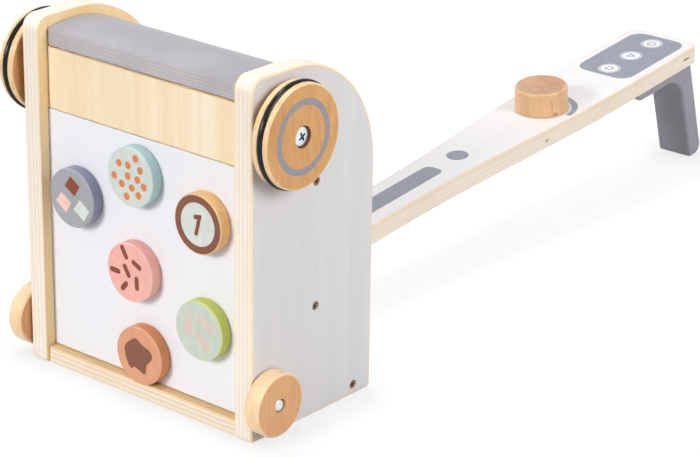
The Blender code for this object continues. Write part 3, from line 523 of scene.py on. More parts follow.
def satin_paint(name, colour, rough, grain, plies=None):
    """Sprayed satin paint: cloudy depth, a faint orange peel and the wood's grain or ply lines under it."""
    look = Look(name)
    cloud = look.noise(30.0, 3.0, 0.55)
    streak = look.noise(along(grain, 380.0), 4.0, 0.62, distortion=0.25)
    speck = look.noise(2600.0, 2.0)
    peel = look.noise(750.0, 2.0)
    made = look.blend(cloud, 0.35, times(colour, 0.94), 0.65, colour)
    made = look.darken(made, (streak, 0.48, 0.78, 0.07), (speck, 0.60, 0.80, 0.06))
    height = look.maths("ADD", peel, look.maths("MULTIPLY", streak, 0.6))
    if plies:
        line = look.ply_lines(*plies, cloud)[2]
        made = look.darken(made, (line, 0.22, 0.03, 0.17))
        height = look.maths("ADD", height, look.between(line, 0.0, 0.15, -1.5, 0.0))
    return look.finish(made, (cloud, rough - 0.04, rough + 0.06), height, 0.00003)


def beech(name, pale, deep, turn=ORIGIN, shift=ORIGIN, ring=3.2 * MM, late=0.13, cloudy=0.09, marks=()):
    """Solid beech with growth rings round a far pith, fibres, short flecks and optional dark marks."""
    look = Look(name, 0.42, WOOD_WARMTH, shift, turn)
    swirl = look.noise((22.0, 22.0, 3.0), 2.0)
    rings = look.add(
        "TexWave",
        {"Vector": look.spread((1.0, 1.0, 0.06), tuple(0.05 + 0.01 * s for s in shift)),
         "Scale": 0.314 / ring, "Distortion": 2.6, "Detail": 2.0, "Detail Scale": 0.9},
        wave_type="RINGS", rings_direction="Z", wave_profile="SAW",
    ).outputs["Fac"]
    fibre = look.noise((2400.0, 2400.0, 70.0), 3.0, 0.6)
    fleck = look.noise((1300.0, 1300.0, 190.0), 1.0)
    colour = look.blend(swirl, 0.34, pale, 0.66, deep)
    mottle = look.noise((170.0, 170.0, 34.0), 3.0, 0.55, distortion=0.6)
    colour = look.darken(colour, (rings, 0.35, 1.0, late), (mottle, 0.44, 0.68, cloudy),
                         (fibre, 0.48, 0.82, 0.16), (fleck, 0.64, 0.74, 0.20))
    colour = look.marked(colour, marks, fleck)
    return look.finish(colour, (fibre, 0.28, 0.42), look.maths("ADD", fibre, rings), 0.00003)


def ink(name, colour):
    """Screen-printed ink, a little uneven over the wood under it."""
    look = Look(name, 0.28)
    cloud = look.noise(160.0, 3.0, 0.6)
    speck = look.noise(3400.0, 2.0)
    made = look.blend(cloud, 0.34, times(colour, 0.955), 0.66, colour)
    made = look.darken(made, (speck, 0.60, 0.78, 0.07))
    return look.finish(made, (cloud, 0.42, 0.52), speck, 0.000015)


def disc_paint(name, colour):
    """Paint on a small turned disc over faint grain; its rim is paler, partly wear and partly painted
    highlight.
    """
    look = Look(name, 0.45)
    grain = look.noise((30.0, 700.0, 700.0), 3.0, 0.6, distortion=0.2)
    cloud = look.noise(90.0, 3.0)
    made = look.blend(cloud, 0.34, times(colour, 0.96), 0.66, colour)
    made = look.darken(made, (grain, 0.50, 0.80, 0.09))
    parts = look.add("SeparateXYZ", {0: look.place}).outputs
    flat = look.add("CombineXYZ", {0: parts[0], 1: parts[1]}).outputs[0]
    radius = look.add("VectorMath", {0: flat}, operation="LENGTH").outputs["Value"]
    rim = look.maths("MULTIPLY", look.between(radius, DISC_R - 1.3 * MM, DISC_R - 0.5 * MM),
                     look.between(parts[2], DISC_H - 1.5 * MM, DISC_H - 0.5 * MM))
    # Paler rim: partly worn paint, partly a painted highlight where the rim turns.
    worn_and_lit = tone(*[c * 0.72 + 76 for c in colour])
    made = look.mix(look.maths("MULTIPLY", rim, look.between(grain, 0.35, 0.65, 0.55, 0.95)), made, worn_and_lit)
    return look.finish(made, (grain, 0.36, 0.46), grain, 0.00003)


def metal(name, pale, dark, rough, lathe=0.25 * MM):
    """Turned metal with fine concentric marks round local z and cloudy wear."""
    look = Look(name, metallic=1.0)
    cloud = look.noise(420.0, 4.0, 0.6)
    marks = look.add(
        "TexWave", {"Vector": look.place, "Scale": 0.314 / lathe, "Distortion": 0.6, "Detail": 1.0},
        wave_type="RINGS", rings_direction="Z",
    ).outputs["Fac"]
    made = look.blend(cloud, 0.34, dark, 0.62, pale)
    return look.finish(made, (cloud, rough + 0.08, rough - 0.06), marks, 0.000006)


def rubber(name):
    """Smooth black rubber."""
    look = Look(name, 0.30)
    cloud = look.noise(260.0, 4.0, 0.6)
    grit = look.noise(2800.0, 2.0)
    made = look.blend(cloud, 0.35, (15, 9, 7), 0.68, (28, 19, 16))
    return look.finish(made, (cloud, 0.09, 0.15), grit, 0.000005)


PANEL_PAINT = grained_paint("panel_paint", (223, 220, 221), "z", 0.07, 0.46)
INNER_VENEER = veneer("panel_veneer", "z", (255, 229, 179), (251, 215, 158))
BOARD_TOP = veneer("board_veneer", "x", (240, 206, 156), (230, 190, 138), (4.0, 1.0, 0.0))
RAIL_WOOD = veneer("rail_wood", "z", (253, 238, 212), (248, 225, 188), (7.0, 2.0, 3.0))
FACE_PAINT = grained_paint("face_paint", (240, 240, 245), "z", 0.015, 0.36, bump=0.00001)
COVER_PAINT = satin_paint("cover_paint", (172, 169, 177), 0.36, "x")
# The grip's grey is set darker than the cover's: painted shade for the grip under the handle's end.
GRIP_PAINT_SHADED = satin_paint("grip_paint", (155, 152, 166), 0.38, "z")
HANDLE_PAINT = grained_paint("handle_paint", (240, 237, 238), "y", 0.025, 0.40, (3.0, 1.0, 2.0), 0.00002)
HANDLE_VENEER = veneer("handle_veneer", "y", (243, 216, 172), (234, 200, 150), (1.0, 6.0, 2.0))
STEEL = metal("steel", (236, 238, 241), (212, 214, 219), 0.34)
BRONZE = metal("bronzed_steel", (164, 134, 110), (112, 88, 70), 0.36)
MAGNET = metal("magnet", (150, 150, 153), (120, 120, 124), 0.3)
# The cross recess's metal is darker than the head's: painted shade inside the recess.
RECESS_SHADE = metal("screw_recess_shade", (120, 158, 172), (80, 112, 126), 0.45)
RUBBER = rubber("tyre_rubber")
GREY_INK = ink("grey_ink", (153, 157, 170))
RING_INK = ink("ring_ink", (156, 152, 157))
WHITE_INK = ink("white_ink", (243, 243, 245))


# Box
def screw_mesh(name, material, *sizes, dome=0.4):
    """Screw along local z, with a cross recess in a domed head whose top is at z = 0.

    Sizes in millimetres: the head's radius and height, the shank's radius, the length, the recess's width.
    """
    head_r, head_h, shank_r, length, cross, dome = (size * MM for size in (*sizes, dome))
    shape = lathe_profile(
        [(shank_r * 0.3, -length), (shank_r, -length + 2 * shank_r), (shank_r, -head_h),
         (head_r, -head_h + 0.5 * MM, 0.2 * MM), (head_r, -dome, 0.3 * MM), (head_r * 0.6, -dome * 0.25),
         (head_r * 0.2, 0.0)], 30.0)
    body = turned(shape, 40)
    arms = []
    for k in (0, 1):
        bar = plain_block((-cross / 2, -cross * 0.14, -1.5 * MM), (cross / 2, cross * 0.14, 1.0 * MM))
        arms.append(moved(bar, spun(k * pi / 2)))

    # Slot 1, the darker recess metal, lines the cross as painted shade.
    def rule(middle, normal):
        inside = middle.to_2d().length < 0.6 * cross and -1.6 * MM < middle.z
        return int(inside and (middle.z < -0.9 * MM or abs(normal.z) < 0.3))

    return dress(carved(name, body, arms), [material, RECESS_SHADE], rule)


def hole_cutter(radius, depth, place, chamfer=0.35 * MM):
    """Recess along local z from a face at z = 0 down to a depth, with a chamfered mouth."""
    top = 1.0 * MM
    return moved(turned([(radius, -depth), (radius, -chamfer), (radius + chamfer, 0.0),
                         (radius + chamfer + top, top)], 40), place)


def cover_curve(offset, steps):
    """Profile of the cover's two arcs, from its front edge to its rear one, at an offset below its top."""
    front, rear = COVER_FRONT - offset, COVER_REAR - offset
    start = degrees(acos((FACE_LOW.y - COVER_CROWN) / front))
    points = arc(COVER_CROWN, COVER_TOP - COVER_FRONT, front, start, 90.0, steps)
    return points + arc(COVER_CROWN, COVER_TOP - COVER_REAR, rear, 90.0, 0.0, 3 * steps)[1:]


def add_panels():
    outline = rounded([(FRONT_Y, 0.0, 3 * MM), (REAR_Y, 0.0, 3 * MM), (REAR_Y, HEIGHT, 83.5 * MM),
                       (FRONT_Y, HEIGHT, 10 * MM)], 4.0)
    screw = screw_mesh("panel_screw", BRONZE, 2.9, 2.4, 2.0, 38.2, 3.4)
    screws = ("upper_partition", "lower_partition", "rear_bottom", "front_bottom", "rail")
    for side, s in SIDES:
        cutters = []
        for k, name in enumerate(f"{side}_{name}_screw" for name in screws):
            seat = span(name)[2]
            mouth = at(s * OUTER, seat.y, seat.z) @ OUT[s]
            cutters.append(hole_cutter(3.15 * MM, 3.5 * MM, mouth))
            place = mouth @ at(z=-0.8 * MM) @ spun(0.6 * k + 0.3 * s)
            fitted(name, screw, "bronzed_steel", place)
        groove = [sorted((s * (INNER - 5 * MM), s * (INNER + GROOVE))),
                  (FACE_LOW.y - REVEAL, FACE_HIGH.y + GAP), (BOTTOM_TOP, RAIL_FOOT)]
        cutters.append(plain_block([g[0] for g in groove], [g[1] for g in groove]))
        edge = ply_edge(f"panel_edge_{side}", "x", s * INNER, s * OUTER, PANEL_PLIES, (s, 3.0, 1.0))

        def rule(middle, normal, s=s):
            flat = abs(middle.x) > OUTER - SKIN and normal.x * s > FLAT
            inner = abs(middle.x) < INNER + SKIN and normal.x * s < -FLAT
            return 1 if flat else 2 if inner else 0

        (low, r_low), (high, r_high) = sorted([(s * INNER, PANEL_INNER_EASE), (s * OUTER, PANEL_EASE)])
        solid(f"{side}_side_panel", board(outline, low, high, "x", r_low, 5, r_high),
              [edge, PANEL_PAINT, INNER_VENEER], "panel_paint", rule, cutters)


def flat_rule(axis, low, high):
    """Slot 1 for the two faces of a board, slot 0 for its edges."""
    def rule(middle, normal):
        return int(abs(normal[axis]) > FLAT and not low + NEAR < middle[axis] < high - NEAR)
    return rule


def add_board(node, k, ease, tones, shift, faces, gap=0.0, cutters=()):
    """Plywood board that is thin along its axis k, with a gap at its left and right."""
    low, high, _ = span(node)
    edge = ply_edge(f"{node}_edge", "xyz"[k], low[k], high[k], tones, shift)
    inward = Vector((gap, 0.0, 0.0))
    solid(node, block(low + inward, high - inward, "xyz"[k], ease), [edge, faces], "bare_plywood",
          flat_rule(k, low[k], high[k]), cutters)


def add_boards():
    add_board("bottom_board", 2, 0.5 * MM, BOTTOM_PLIES, (2.0, 5.0, 1.0), BOARD_TOP, 0.1 * MM)
    add_board("front_rail", 1, 0.8 * MM, PLAIN_PLIES, (1.0, 1.0, 8.0), RAIL_WOOD)
    screw = screw_mesh("cheek_screw", BRONZE, 4.0, 3.0, 2.0, 32.0, 4.6)
    cutters = []
    for name in [f"{side}_{level}_cheek_screw" for side, _ in SIDES for level in ("lower", "upper")]:
        seat = span(name)[2]
        mouth = at(seat.x, WALL_FRONT, seat.z) @ FRONT
        cutters.append(hole_cutter(4.3 * MM, SEAT_DEPTH, mouth))
        fitted(name, screw, "bronzed_steel", mouth)
    add_board("partition", 1, EDGE, PLAIN_PLIES, (5.0, 1.0, 3.0), BOARD_TOP, cutters=cutters)
    lift = Vector((0.0, 0.0, 0.4 * MM))
    solid("magnetic_face", block(FACE_LOW + lift, FACE_HIGH, "y", 0.4 * MM), [FACE_PAINT], "white_paint")
    low, high, _ = span("backing_plate")
    solid("backing_plate", block(low, high, "y", 0.2 * MM), [STEEL], "steel")


def add_cover():
    outer, under = cover_curve(0.0, 10), cover_curve(COVER_THICK, 10)[::-1]
    corners = [(*outer[0], 1.3 * MM), *outer[1:-1], (*outer[-1], 1.5 * MM)]
    corners += [(*under[0], 1.5 * MM), *under[1:-1], (*under[-1], 1.2 * MM)]
    half = INNER - COVER_SIDE_GAP
    # The cut end's paint is pinker, with ply lines under it, and paler than the cover's grey as painted
    # light.
    plies = satin_paint("cover_edge_paint_lit", (196, 190, 193), 0.36, "x", ("z", under[-1][1], outer[0][1], 5))

    def rule(middle, normal):
        return int(normal.y < -0.9 and middle.y < FACE_LOW.y + 0.1 * MM)

    solid("curved_cover", board(rounded(corners, 15.0), -half, half, "x"), [COVER_PAINT, plies],
          "cover_paint", rule)


def dowel_cutter(reach, place):
    """Bore for the pivot dowel."""
    return moved(turned([(DOWEL_BORE, -reach), (DOWEL_BORE, reach)], 48), place)


def add_hinge():
    low, high, _ = span("right_pivot_cheek")
    half = (high.z - low.z) / 2
    across = at(*PIVOT) @ OUT[1]
    outline = [(low.y, PIVOT.z + half), (low.y, PIVOT.z - half)]
    outline += arc(PIVOT.y, PIVOT.z, half, -90.0, 90.0, 32)
    for side, s in SIDES:
        edge = ply_edge(f"cheek_edge_{side}", "x", s * low.x, s * high.x, shift=(s, 9.0, 2.0))
        near, far = sorted((s * low.x, s * high.x))
        solid(f"{side}_pivot_cheek", board(outline, near, far, "x", 0.8 * MM), [edge, INNER_VENEER],
              "bare_plywood", flat_rule(0, near, far), [dowel_cutter(60 * MM, across)])
    end = span("pivot_dowel")[1].x
    dowel = turned(lathe_profile([(DOWEL_R, -end, 0.6 * MM), (DOWEL_R, end, 0.6 * MM)]), 48)
    wood = beech("dowel_wood", (231, 190, 142), (216, 170, 118), shift=(3.0, 1.0, 7.0))
    solid("pivot_dowel", dowel, [wood], "beech", place=across)


# Wheels
def rim_rule(radius, bore=0.0):
    """Slot 1 for a wheel's tread and eased rims, slot 2 inside a bore, slot 0 for its faces."""
    def rule(middle, normal):
        # Rims in the paler tread wood are partly a painted highlight; the darker bore wood is painted shade.
        away = middle.to_2d().length
        return 2 if away < bore else int(abs(normal.z) < 0.93 and away > radius - 3.0 * MM)
    return rule


def ring_mesh(name, inner, outer, low, high, material):
    """Flat metal ring with eased outer edges."""
    shape = [(inner, low), (outer, low, 0.2 * MM), (outer, high, 0.2 * MM), (inner, high)]
    return dress(to_mesh(name, turned(rounded(shape, 30.0), 48, True)), [material])


def wheels(kind, off, mesh, turns, shift, grain, tones, rule):
    """Places a pair of wheels, and gives each one's side, body, seat on its panel and hub."""
    for (side, s), turn in zip(SIDES, turns):
        body = f"{side}_{kind}_wheel"
        middle = span(body)[2]
        seat = at(s * OUTER, middle.y, middle.z) @ OUT[s]
        hub = seat @ at(z=off)
        run = {"turn": (pi / 2, 0.0, turn), "shift": (shift[0] * s, *shift[1:]), **grain}
        woods = [beech(f"{body}_{part}_wood", *pair, **run) for part, pair in tones.items()]
        solid(body, turned(*mesh, True), woods, "beech", rule, place=hub, body=body)
        yield side, s, body, seat, hub


def add_large_wheels():
    ink_height = 0.06 * MM
    face = BIG_W - ink_height
    groove = TYRE_R + GAP
    counter, floor = mm(7.25, 8.3)
    corners = [(AXLE_BORE, 0.0), (BIG_R, 0.0, 1.6 * MM), (BIG_R, TYRE_H - groove, 0.3 * MM)]
    corners += [(r, h) for h, r in arc(TYRE_H, TYRE_RING, groove, 180.0, 360.0, 14)]
    corners += [(BIG_R, TYRE_H + groove, 0.3 * MM), (BIG_R, face, 1.6 * MM), (counter, face, 0.5 * MM)]
    corners += [(counter, floor), (AXLE_BORE, floor)]
    profile = rounded(corners, 15.0)
    tube = [(r, h) for h, r in circle(TYRE_H, TYRE_RING, TYRE_R, 24)]
    tyre = dress(to_mesh("tyre", turned(tube, 128, True)), [RUBBER])
    screw = screw_mesh("wheel_screw", STEEL, 6.5, 2.8, 3.0, 29.1, 6.4, dome=0.7)
    spacer = ring_mesh("spacer", RING_BORE, RING_R, GAP, BIG_OFF - GAP, STEEL)
    # Bore wood is darker as painted shade in the counterbore; tread wood on the eased rims is partly painted
    # highlight.
    tones = {"face": ((230, 178, 120), (212, 158, 98)), "tread": ((252, 226, 184), (246, 211, 162)),
             "bore": ((176, 120, 84), (150, 98, 66))}
    for side, s, body, seat, hub in wheels(
            "large", BIG_OFF, (profile, 128), (0.9, 2.3), (2.0, 1.0, 3.0), {"ring": 3.6 * MM, "cloudy": 0.17},
            tones, rim_rule(BIG_R, counter + 0.2 * MM)):
        fitted(f"{side}_tyre", tyre, "tyre_rubber", hub, body)
        add_ink(f"{body}_ring_print", [(circle(0, 0, 25.2, 96), circle(0, 0, 20.9, 96))], RING_INK,
                "cover_paint", face, hub, body, ink_height)
        head = at(z=BIG_W - 1.1 * MM) @ spun(0.5 * s)
        fitted(f"{body}_screw", screw, "steel", hub @ head)
        fitted(f"{body}_spacer", spacer, "steel", seat)


def add_small_wheels():
    counter, floor = mm(4.8, 8.7)
    profile = rounded(
        [(AXLE_BORE, 0.0), (SMALL_R, 0.0, 1.8 * MM), (SMALL_R, SMALL_W, 1.8 * MM),
         (counter, SMALL_W, 0.5 * MM), (counter, floor), (AXLE_BORE, floor)], 15.0)
    shape = lathe_profile(
        [mm(1.0, -22.7), mm(3.0, -21.5, 0.3), mm(3.0, -3.0),
         mm(4.3, -3.0, 0.2), mm(4.3, -1.0, 0.5), mm(3.2, -0.25, 0.8),
         (0.8 * MM, 0.0)], 22.5)
    pin = dress(to_mesh("pin", turned(shape, 56)), [STEEL])
    washer = ring_mesh("washer", RING_BORE, RING_R, 0.2 * MM, 1.0 * MM, STEEL)
    # Tread wood on the eased rims is partly a painted highlight.
    tones = {"face": ((235, 181, 133), (219, 162, 111)), "tread": ((255, 228, 190), (249, 213, 168))}
    for _, _, body, seat, hub in wheels(
            "small", SMALL_OFF, (profile, 112), (2.0, 0.5), (4.0, 6.0, 2.0), {"ring": 4.0 * MM, "late": 0.07},
            tones, rim_rule(SMALL_R)):
        fitted(f"{body}_pin", pin, "steel", hub @ at(z=SMALL_W - 0.5 * MM))
        fitted(f"{body}_washer", washer, "steel", seat)


# Prints
def add_ink(name, shapes, material, slot, height, place, body, thick=INK_THICK):
    """Thin flat print on a face at a height along local z.

    A shape is an outline in millimetres, or for a ring a pair of outlines with the same number of points.
    """
    bm, low, high = bmesh.new(), height - NEAR, height + thick
    for shape in shapes:
        outer, *inner = map(wound, shape if isinstance(shape, tuple) else (shape,))
        loops = [(outer, low), (outer, high)] + [(loop, h) for loop in inner for h in (high, low)]
        skin(bm, [[(u * MM, v * MM, h) for u, v in loop] for loop, h in loops], bool(inner))
    piece(name, dress(to_mesh(name, bm), [material]), slot, place, body)


def capsule(x0, y0, x1, y1, r, steps=10):
    """Outline of a rounded bar between two points."""
    a = degrees(atan2(y1 - y0, x1 - x0))
    return arc(x0, y0, r, a + 90.0, a + 270.0, steps) + arc(x1, y1, r, a - 90.0, a + 90.0, steps)


def flowing(points, steps=6):
    """Smooth closed curve through points."""
    made = []
    for i in range(len(points)):
        p0, p1, p2, p3 = (Vector(points[(i + k - 1) % len(points)]) for k in range(4))
        for k in range(steps):
            t = k / steps
            made.append(tuple(0.5 * (2 * p1 + (p2 - p0) * t + (2 * p0 - 5 * p1 + 4 * p2 - p3) * t ** 2
                                     + (3 * p1 - p0 - 3 * p2 + p3) * t ** 3)))
    return made


def paper_clip(x0, y0, x1, y1):
    """Outlines of a paper clip's outer and inner loops between two points."""
    start, end = Vector((x0, y0)), Vector((x1, y1))
    low, high = start.lerp(end, 0.30), start.lerp(end, 0.94)
    return [(capsule(x0, y0, x1, y1, 3.0), capsule(x0, y0, x1, y1, 2.1)),
            (capsule(*low, *high, 1.5), capsule(*low, *high, 0.7))]


def add_discs():
    magnet_r, magnet_h, pocket_r, pocket_h, ease = mm(7.5, 3.3, 7.8, 3.6, 0.2)
    profile = lathe_profile(
        [(pocket_r, pocket_h), (pocket_r, 0.0, ease), (DISC_R, 0.0, DISC_EASE),
         (DISC_R, DISC_H, DISC_EASE), (0.5 * MM, DISC_H)])
    shape = lathe_profile([(magnet_r, GAP, ease), (magnet_r, magnet_h, ease)], 30.0)
    magnet = dress(to_mesh("magnet", turned(shape, 48)), [MAGNET])
    brown = ink("brown_ink", (140, 86, 68))
    dark_brown = ink("dark_brown_ink", (140, 72, 50))
    pink = ink("pink_ink", (255, 211, 198))
    beige = ink("beige_ink", (242, 200, 184))
    mint = ink("mint_ink", (225, 234, 228))
    rust = ink("rust_ink", (228, 136, 78))
    dots = [(-9.8, 7.8), (5.4, 14.2), (-1.5, 8.1), (9.5, 7), (-14.4, -1.9), (-2.1, 0.4), (6.9, -0.1),
            (-7.4, -6.1), (1.6, -7.1), (12.7, -3.8), (-3.2, -14), (7.8, -10.9)]
    bars = [(-6.4, 16.5, -2.8, 10.5), (-16.4, -1.6, -10.4, -1.8), (-4.3, 3.5, -0.8, -2.1),
            (4.0, 8.4, 9.4, 5.9), (-6.6, -12.8, -3.3, -8.9), (6.5, -2.9, 6.8, -9.3)]
    clips = [(-9.4, 8.3, -9.0, -2.5), (1.9, 8.7, 11.2, 3.8), (-0.8, -2.9, 6.7, -10.4)]
    splat = [(-3.1, 12.2), (-0.5, 11.6), (2.0, 9.6), (5.3, 8.4), (8.9, 7.2), (11.5, 5.2), (12.6, 2.7),
             (11.5, 0.1), (8.6, -3.1), (6.9, -5.6), (6.6, -8.4), (5.7, -11.5), (3.5, -11.8), (0.2, -10.4),
             (-3.1, -9.2), (-5.1, -9.6), (-6.6, -11.0), (-8.8, -9.9), (-10.4, -7.6), (-12, -3.8),
             (-13, 0.2), (-13.2, 2.9), (-11.9, 5.7), (-8.6, 8.8), (-5.7, 11)]
    one = [(-3.2, 6.1), (0.6, 6.9), (3.7, 7.4), (-0.3, -8.2), (-3.1, -7.4), (-0.4, 3.5), (-3.6, 3.2)]
    tiles = [[(-0.7, 15.8), (8.2, 10.1), (3.2, 2.1), (-6.3, 7.6)],
             [(-9.4, 2.2), (-0.4, -3.4), (-5.5, -11.6), (-15, -5)],
             [(8, 0.8), (16.9, -5.5), (11.4, -13.7), (1.9, -7.5)]]
    ring = (circle(0, 0, 19.9, 96), circle(0, 0, 14.9, 96))
    coin_wood = beech("disc_coin_wood", (252, 208, 144), (240, 187, 118), (pi / 2, 0.0, 0.4),
                      (9.0, 2.0, 5.0), 2.6 * MM, 0.06)
    discs = {
        "tiles": ((141, 145, 170), (172, 173, 178),
                  [("brown", dark_brown, tiles[:1]), ("pink", pink, tiles[1:2]), ("mint", mint, tiles[2:])]),
        "dots": ((180, 215, 219), (217, 224, 217), [("rust", rust, [circle(*dot, 2.6, 32) for dot in dots])]),
        "coin": (None, (222, 228, 220), [("ring", brown, [ring]), ("one", dark_brown, [one])]),
        "sprinkles": ((255, 185, 174), (250, 186, 174),
                      [("brown", dark_brown, [capsule(*bar, 1.85) for bar in bars])]),
        "clips": ((206, 219, 106), (206, 216, 204),
                  [("beige", beige, [loop for clip in clips for loop in paper_clip(*clip)])]),
        "splat": ((227, 146, 93), (228, 165, 127), [("brown", brown, [flowing(splat)])]),
    }

    def rule(middle, normal):
        return int(normal.z > FLAT and middle.z > DISC_H - DISC_EASE)

    for name, (side, ground, prints) in discs.items():
        body, slot = f"disc_{name}", f"{name}_paint"
        _, high, middle = span(body)
        woods = [disc_paint(f"{body}_paint", side) if side else coin_wood, ink(f"{body}_ground", ground)]
        place = at(middle.x, high.y, middle.z) @ FRONT
        solid(body, turned(profile, 112), woods, slot, rule, place=place, body=body)
        fitted(f"magnet_{name}", magnet, "magnet", place, body)
        for label, material, shapes in prints:
            add_ink(f"{body}_print_{label}", shapes, material, slot, DISC_H, place, body)


# Handle
def half_width(y):
    """Half the handle's width at a place along it: it widens smoothly from its neck to its head."""
    share = min(max((y - NECK) / (HEAD - NECK), 0.0), 1.0)
    return NECK_HALF + (HEAD_HALF - NECK_HALF) * share * share * (3.0 - 2.0 * share)


def add_handle():
    right = [(NECK_HALF, TAIL, 5 * MM)]
    right += [(half_width(y), y) for y in [NECK + (HEAD - NECK) * k / 28 for k in range(29)]]
    right += [(HEAD_HALF, LENGTH, 10 * MM)]
    outline = rounded(right + [(-x, *rest) for x, *rest in reversed(right)], 6.0)
    under = at(0, KNOB_Y, -HALF_BOARD) @ DOWN
    # Slit and pit are voids in the ply edge, drawn as dark marks: painted shade, no hole is cut.
    slit_shade = ((HEAD_HALF, 514.5 * MM, 0.7 * MM), mm(2.0, 5.6, 1.15), 0.95)
    pit_shade = (mm(29.1, 325.8, -1.1), mm(2.0, 2.3, 1.1), 0.95)
    edge = ply_edge("handle_edge", "z", -HALF_BOARD, HALF_BOARD, HANDLE_PLIES, (6.0, 2.0, 4.0), [slit_shade, pit_shade])

    def rule(middle, normal):
        if abs(normal.z) < FLAT or abs(middle.z) < HALF_BOARD - NEAR:
            return 0
        return 1 if normal.z > 0 else 2

    cutters = [dowel_cutter(40 * MM, OUT[1]), hole_cutter(4.55 * MM, SEAT_DEPTH, under)]
    solid("handle_board", board(outline, -HALF_BOARD, HALF_BOARD), [edge, HANDLE_PAINT, HANDLE_VENEER],
          "white_paint", rule, cutters, HANDLE, "handle")
    screw = screw_mesh("knob_screw", STEEL, 4.25, 2.5, 2.5, 26.8, 4.8)
    sunk = at(z=-0.5 * MM)
    fitted("knob_screw", screw, "steel", HANDLE @ under @ sunk, "handle")
    add_grip(sunk)
    add_knob()


def add_knob():
    """Dial knob: a bore for its screw, slightly tapered sides and a shallow bowl in its top."""
    bore, bore_top, taper, foot_ease, ease = mm(2.8, 13.9, 0.7, 0.4, 1.8)
    bowl_r, bowl_low = KNOB_R - 3.0 * MM, KNOB_H - 2.4 * MM
    streak = (mm(17.6, -10.5, 8.5), mm(1.3, 1.0, 7.5), 0.28)
    knot = (mm(18.8, -8.2, 1.6), mm(2.4, 2.4, 2.2), 0.7)
    grain = {"shift": (1.0, 8.0, 2.0), "ring": 9.0 * MM, "late": 0.08}
    woods = [beech("knob_side_wood", (233, 193, 150), (219, 174, 130), marks=[streak, knot], **grain),
             beech("knob_top_wood", (207, 167, 136), (193, 148, 115), **grain)]
    shape = lathe_profile(
        [(bore, bore_top), (bore, 0.0), (KNOB_R, 0.0, foot_ease), (KNOB_R - taper, KNOB_H, ease),
         (bowl_r, KNOB_H, 1.0 * MM), (bowl_r * 0.55, KNOB_H - 2.3 * MM, 20 * MM),
         (0.5 * MM, bowl_low)], 6.0)

    # The top's rim and rounding outside the bowl take the paler side wood: partly side grain, partly a
    # painted highlight.
    def rule(middle, normal):
        return int(normal.z > 0.9 and middle.xy.length < bowl_r + 0.4 * MM)

    solid("dial_knob", turned(shape, 128), woods, "beech", rule,
          place=HANDLE @ at(0, KNOB_Y, HALF_BOARD + GAP), body="knob")


def add_grip(sunk):
    """Grip under the handle's end; its mesh stands square to the floor, so that its box is a tight one."""
    lean = radians(10.5)
    half, foot, leg_length = mm(16.0, 19.0, 98.3)
    leg, top, back, nose = 17.2 * MM / cos(lean), -HALF_BOARD - GAP, 546.4 * MM, 469.5 * MM
    end, lower, heel = top - leg_length, top - foot, back + leg_length * tan(lean)
    outline = rounded(
        [(nose, top, 2 * MM), (nose, lower, 8 * MM), (back - leg + foot * tan(lean), lower, 22 * MM),
         (heel - leg, end, 3 * MM), (heel, end, 8 * MM), (back, top, 10 * MM)], 6.0)
    tilt = spun(TILT, "X")
    mouths = [at(0, nose + d * MM, lower) @ DOWN for d in (13, 35)]
    cutters = [hole_cutter(4.05 * MM, SEAT_DEPTH, tilt @ mouth) for mouth in mouths]
    solid("handle_grip", moved(board(outline, -half, half, "x", 2.6 * MM, 6), tilt), [GRIP_PAINT_SHADED],
          "grip_paint", None, cutters, at(*PIVOT), "handle")
    screw = screw_mesh("grip_screw", BRONZE, 3.75, 2.5, 2.0, 26.8, 4.2)
    for name, mouth in zip(("front", "rear"), mouths):
        fitted(f"{name}_grip_screw", screw, "bronzed_steel", HANDLE @ mouth @ sunk, "handle")


def add_handle_prints():
    """Prints on the handle's top, drawn in millimetres across and from a mark 100 mm before the pivot."""
    mark, arc_y, arc_r, arc_half = 100.0, 458.45, 26.35, 2.5
    ring_y, play_y, power_y = 551.7, 582.9, 613.1
    button_thick, icon_thick = mm(0.05, 0.04)

    def show(name, shapes, material, height=HALF_BOARD, thick=INK_THICK):
        placed = [tuple([(x, s - mark) for x, s in outline] for outline in shape) for shape in shapes]
        add_ink(f"handle_{name}_print", placed, material, "cover_paint", height, HANDLE, "handle", thick)

    show("stripe", [(plate(-9.0, 7.7, 150, 324.5, 6),)], GREY_INK)
    show("dot", [(circle(-1.1, 351.7, 8.5, 64),)], GREY_INK)
    outer, inner = [], []
    for k in range(25):
        a = radians(-2.0 + 122.0 * k / 24)
        taper = sqrt(1.0 - ((k - 10) / 14.0) ** 2) if k > 10 else 0.75 + 0.25 * k / 10
        for edge, r in ((outer, arc_r + arc_half * taper), (inner, arc_r - arc_half * taper)):
            edge.append((r * cos(a), arc_y + r * sin(a)))
    show("arc", [(outer + inner[:-1][::-1],)], GREY_INK)
    show("panel", [(plate(-25.6, 25.4, 538.4, 627.8, 11.5),)], GREY_INK)
    level = HALF_BOARD + INK_THICK
    marks = []
    for s in (ring_y, play_y, power_y):
        marks += [(circle(0, s, 9.0, 64), circle(0, s, 8.3, 64)), (circle(0, s, 7.4, 64),)]
    show("buttons", marks, WHITE_INK, level, button_thick)
    power = [arc(0, power_y, r, 125.0, 415.0, 36) for r in (3.8, 2.8)]
    icons = [(circle(0, ring_y, 3.6, 40), circle(0, ring_y, 2.5, 40)),
             ([(-2.4, play_y - 4.0), (4.2, play_y), (-2.4, play_y + 4.0)],
              [(-1.3, play_y - 2.1), (2.1, play_y), (-1.3, play_y + 2.1)]),
             (power[0] + power[1][::-1],), (capsule(0, power_y + 0.7, 0, power_y + 3.9, 0.5),)]
    show("icons", icons, GREY_INK, level + button_thick, icon_thick)


add_panels()
add_boards()
add_cover()
add_hinge()
add_large_wheels()
add_small_wheels()
add_discs()
add_handle()
add_handle_prints()


